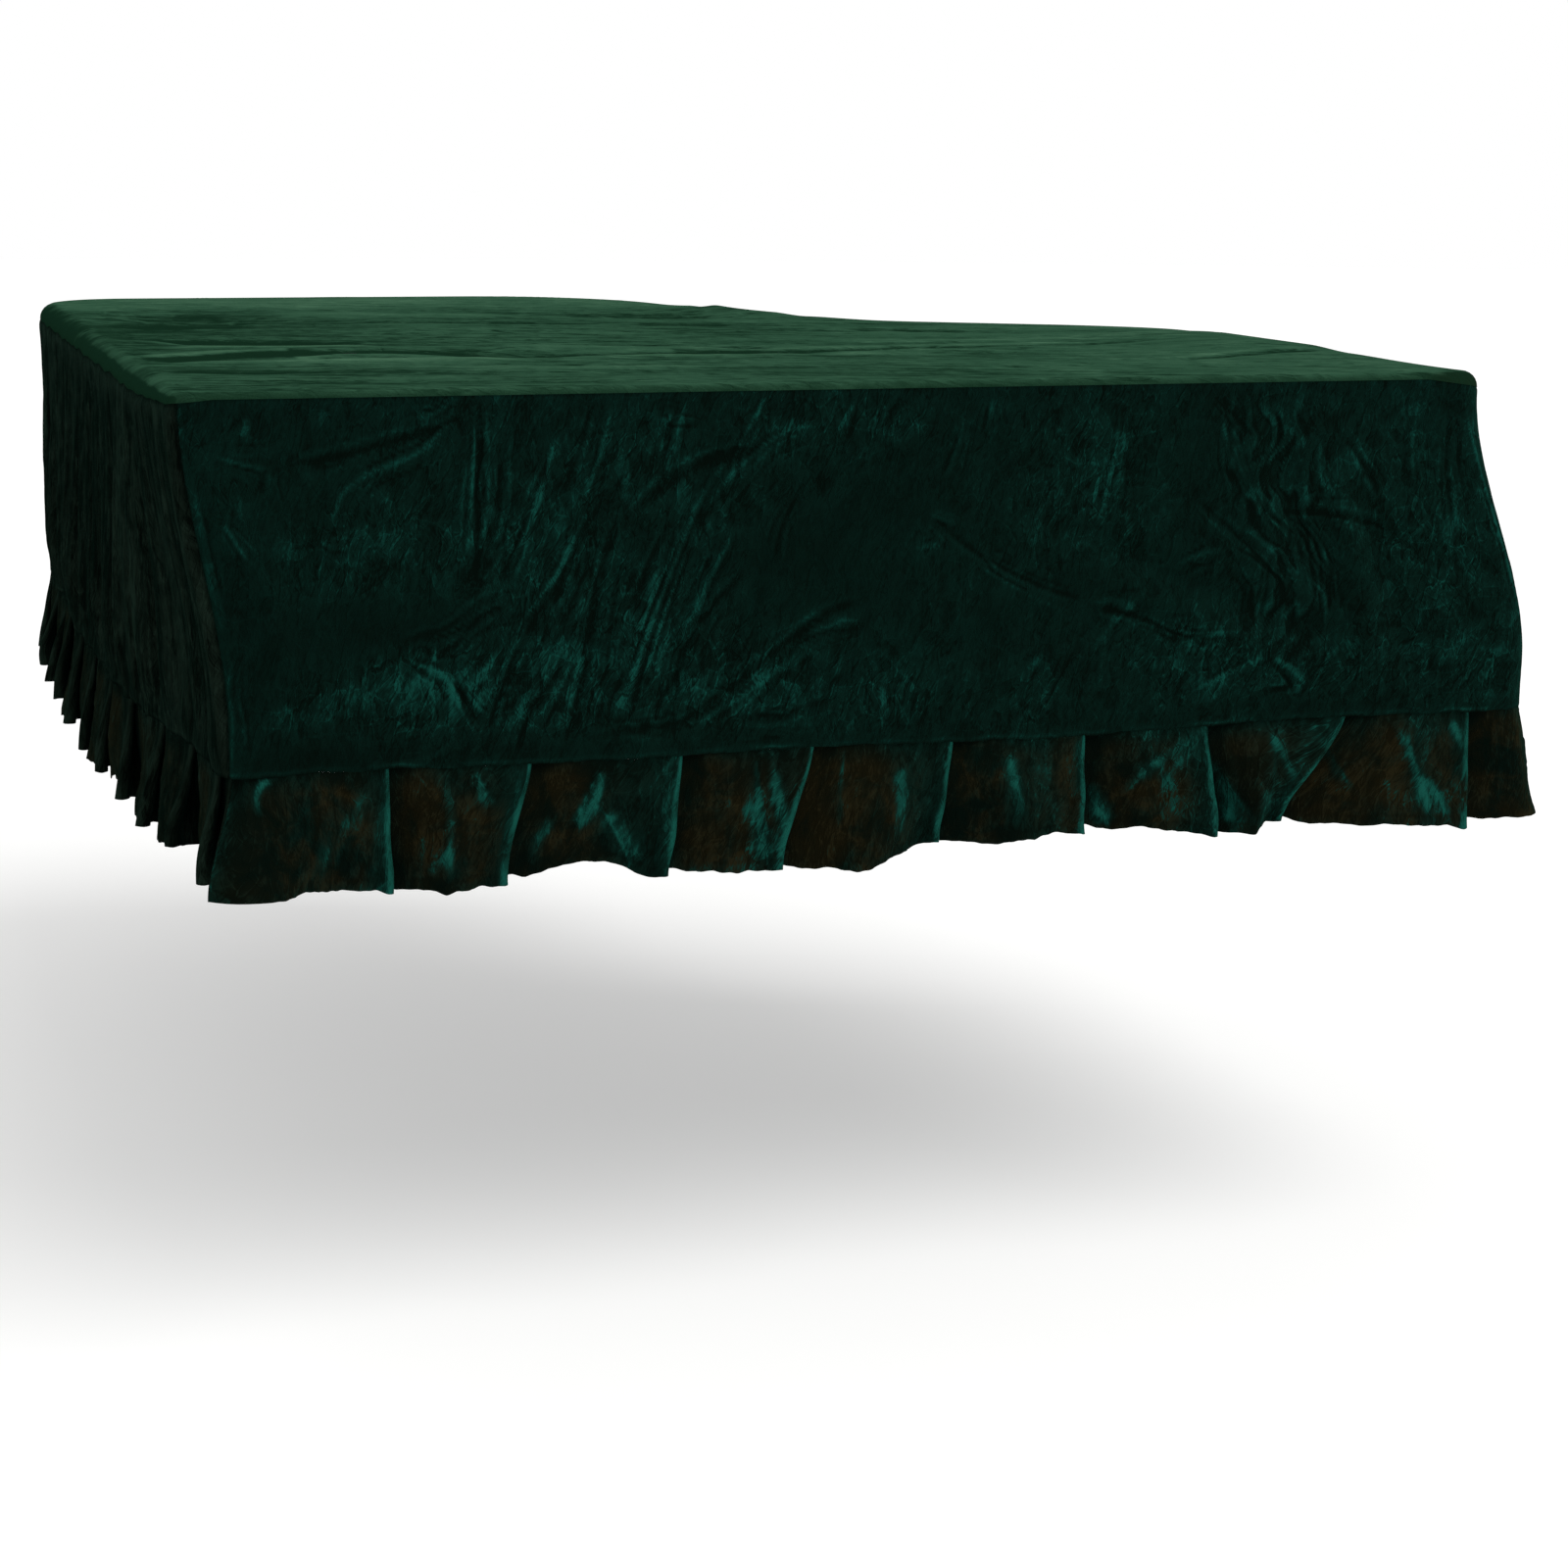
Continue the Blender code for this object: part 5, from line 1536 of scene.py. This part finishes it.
class COVER_OT_studio(bpy.types.Operator):
    """Makes the pale floor, the soft light and the camera"""

    bl_idname = "cover.studio"
    bl_label = "Studio"

    def execute(self, context):
        scene = context.scene
        light = scene.studio_light
        mesh = bpy.data.meshes.new("studio_floor")
        turns = np.linspace(0, 2 * math.pi, FLOOR_SIDES, endpoint=False)
        ring = [(FLOOR_RADIUS * math.cos(a), FLOOR_RADIUS * math.sin(a), FLOOR) for a in turns]
        mesh.from_pydata(ring, [], [tuple(range(FLOOR_SIDES))])
        mesh.materials.append(paper(light.floor[:]))
        floor = bpy.data.objects.new("studio_floor", mesh)
        scene.collection.objects.link(floor)
        scene.world = surround(light.sky, light.backdrop)
        data = bpy.data.lights.new("window", "SUN")
        data.energy = light.window
        data.angle = math.radians(WINDOW_ANGLE)
        lamp = bpy.data.objects.new("window", data)
        lamp.rotation_euler = Vector(WINDOW_WAY).to_track_quat("-Z", "Y").to_euler()
        scene.collection.objects.link(lamp)
        scene.view_settings.view_transform = "Standard"
        scene.camera = make_camera()
        return {"FINISHED"}


def surround(strength, seen):
    """Even light from all round, which the camera sees as a white backdrop."""
    world = bpy.data.worlds.new("surround")
    nodes = Nodes(world)
    towards_camera = nodes.add("ShaderNodeLightPath", out="Is Camera Ray")
    power = strength + (seen - strength) * towards_camera
    sky = nodes.add("ShaderNodeBackground", sockets={"Color": (1.0, 1.0, 1.0, 1.0), "Strength": power})
    nodes.add("ShaderNodeOutputWorld", sockets={"Surface": sky})
    return world


def make_camera():
    """A camera at the photograph's viewing angle."""
    pitch, yaw, roll = CAMERA_ANGLES
    data = bpy.data.cameras.new("photo_view")
    data.sensor_width = SENSOR_WIDTH
    data.lens = FOCAL_PIXELS * SENSOR_WIDTH / FRAME_PIXELS
    data.clip_end = 200.0
    camera = bpy.data.objects.new("photo_view", data)
    forward = Vector((math.sin(yaw) * math.cos(pitch), math.cos(yaw) * math.cos(pitch), -math.sin(pitch)))
    level = Vector((math.cos(yaw), -math.sin(yaw), 0.0))
    upward = level.cross(forward)
    right = level * math.cos(roll) + upward * math.sin(roll)
    up = upward * math.cos(roll) - level * math.sin(roll)
    place = Vector(CAMERA_PLACE) - Vector((SEAT_X, SEAT_Y, -FLOOR))
    rows = [(right[k], up[k], -forward[k], place[k]) for k in range(3)]
    camera.matrix_world = Matrix((*rows, (0.0, 0.0, 0.0, 1.0)))
    bpy.context.scene.collection.objects.link(camera)
    return camera


class VIEW3D_PT_piano_cover(bpy.types.Panel):
    bl_label = "Piano Cover"
    bl_idname = "VIEW3D_PT_piano_cover"
    bl_space_type = "VIEW_3D"
    bl_region_type = "UI"
    bl_category = "Piano Cover"

    def draw(self, context):
        layout = self.layout
        for group in (context.scene.cover_sizes, context.scene.velvet_colours, context.scene.studio_light):
            box = layout.box()
            for key in type(group).__annotations__:
                box.prop(group, key)
        for operator in (COVER_OT_top_panel, COVER_OT_drops, COVER_OT_frills, COVER_OT_studio):
            layout.operator(operator.bl_idname)


CLASSES = (
    CoverSizes,
    VelvetColours,
    StudioLight,
    COVER_OT_top_panel,
    COVER_OT_drops,
    COVER_OT_frills,
    COVER_OT_studio,
    VIEW3D_PT_piano_cover,
)


def register():
    for cls in CLASSES:
        bpy.utils.register_class(cls)
    bpy.types.Scene.cover_sizes = PointerProperty(type=CoverSizes)
    bpy.types.Scene.velvet_colours = PointerProperty(type=VelvetColours)
    bpy.types.Scene.studio_light = PointerProperty(type=StudioLight)


def unregister():
    del bpy.types.Scene.studio_light
    del bpy.types.Scene.velvet_colours
    del bpy.types.Scene.cover_sizes
    for cls in reversed(CLASSES):
        bpy.utils.unregister_class(cls)


def main():
    register()
    bpy.ops.cover.studio()
    bpy.ops.cover.top_panel()
    bpy.ops.cover.drops()
    bpy.ops.cover.frills()


if __name__ == "__main__":
    main()
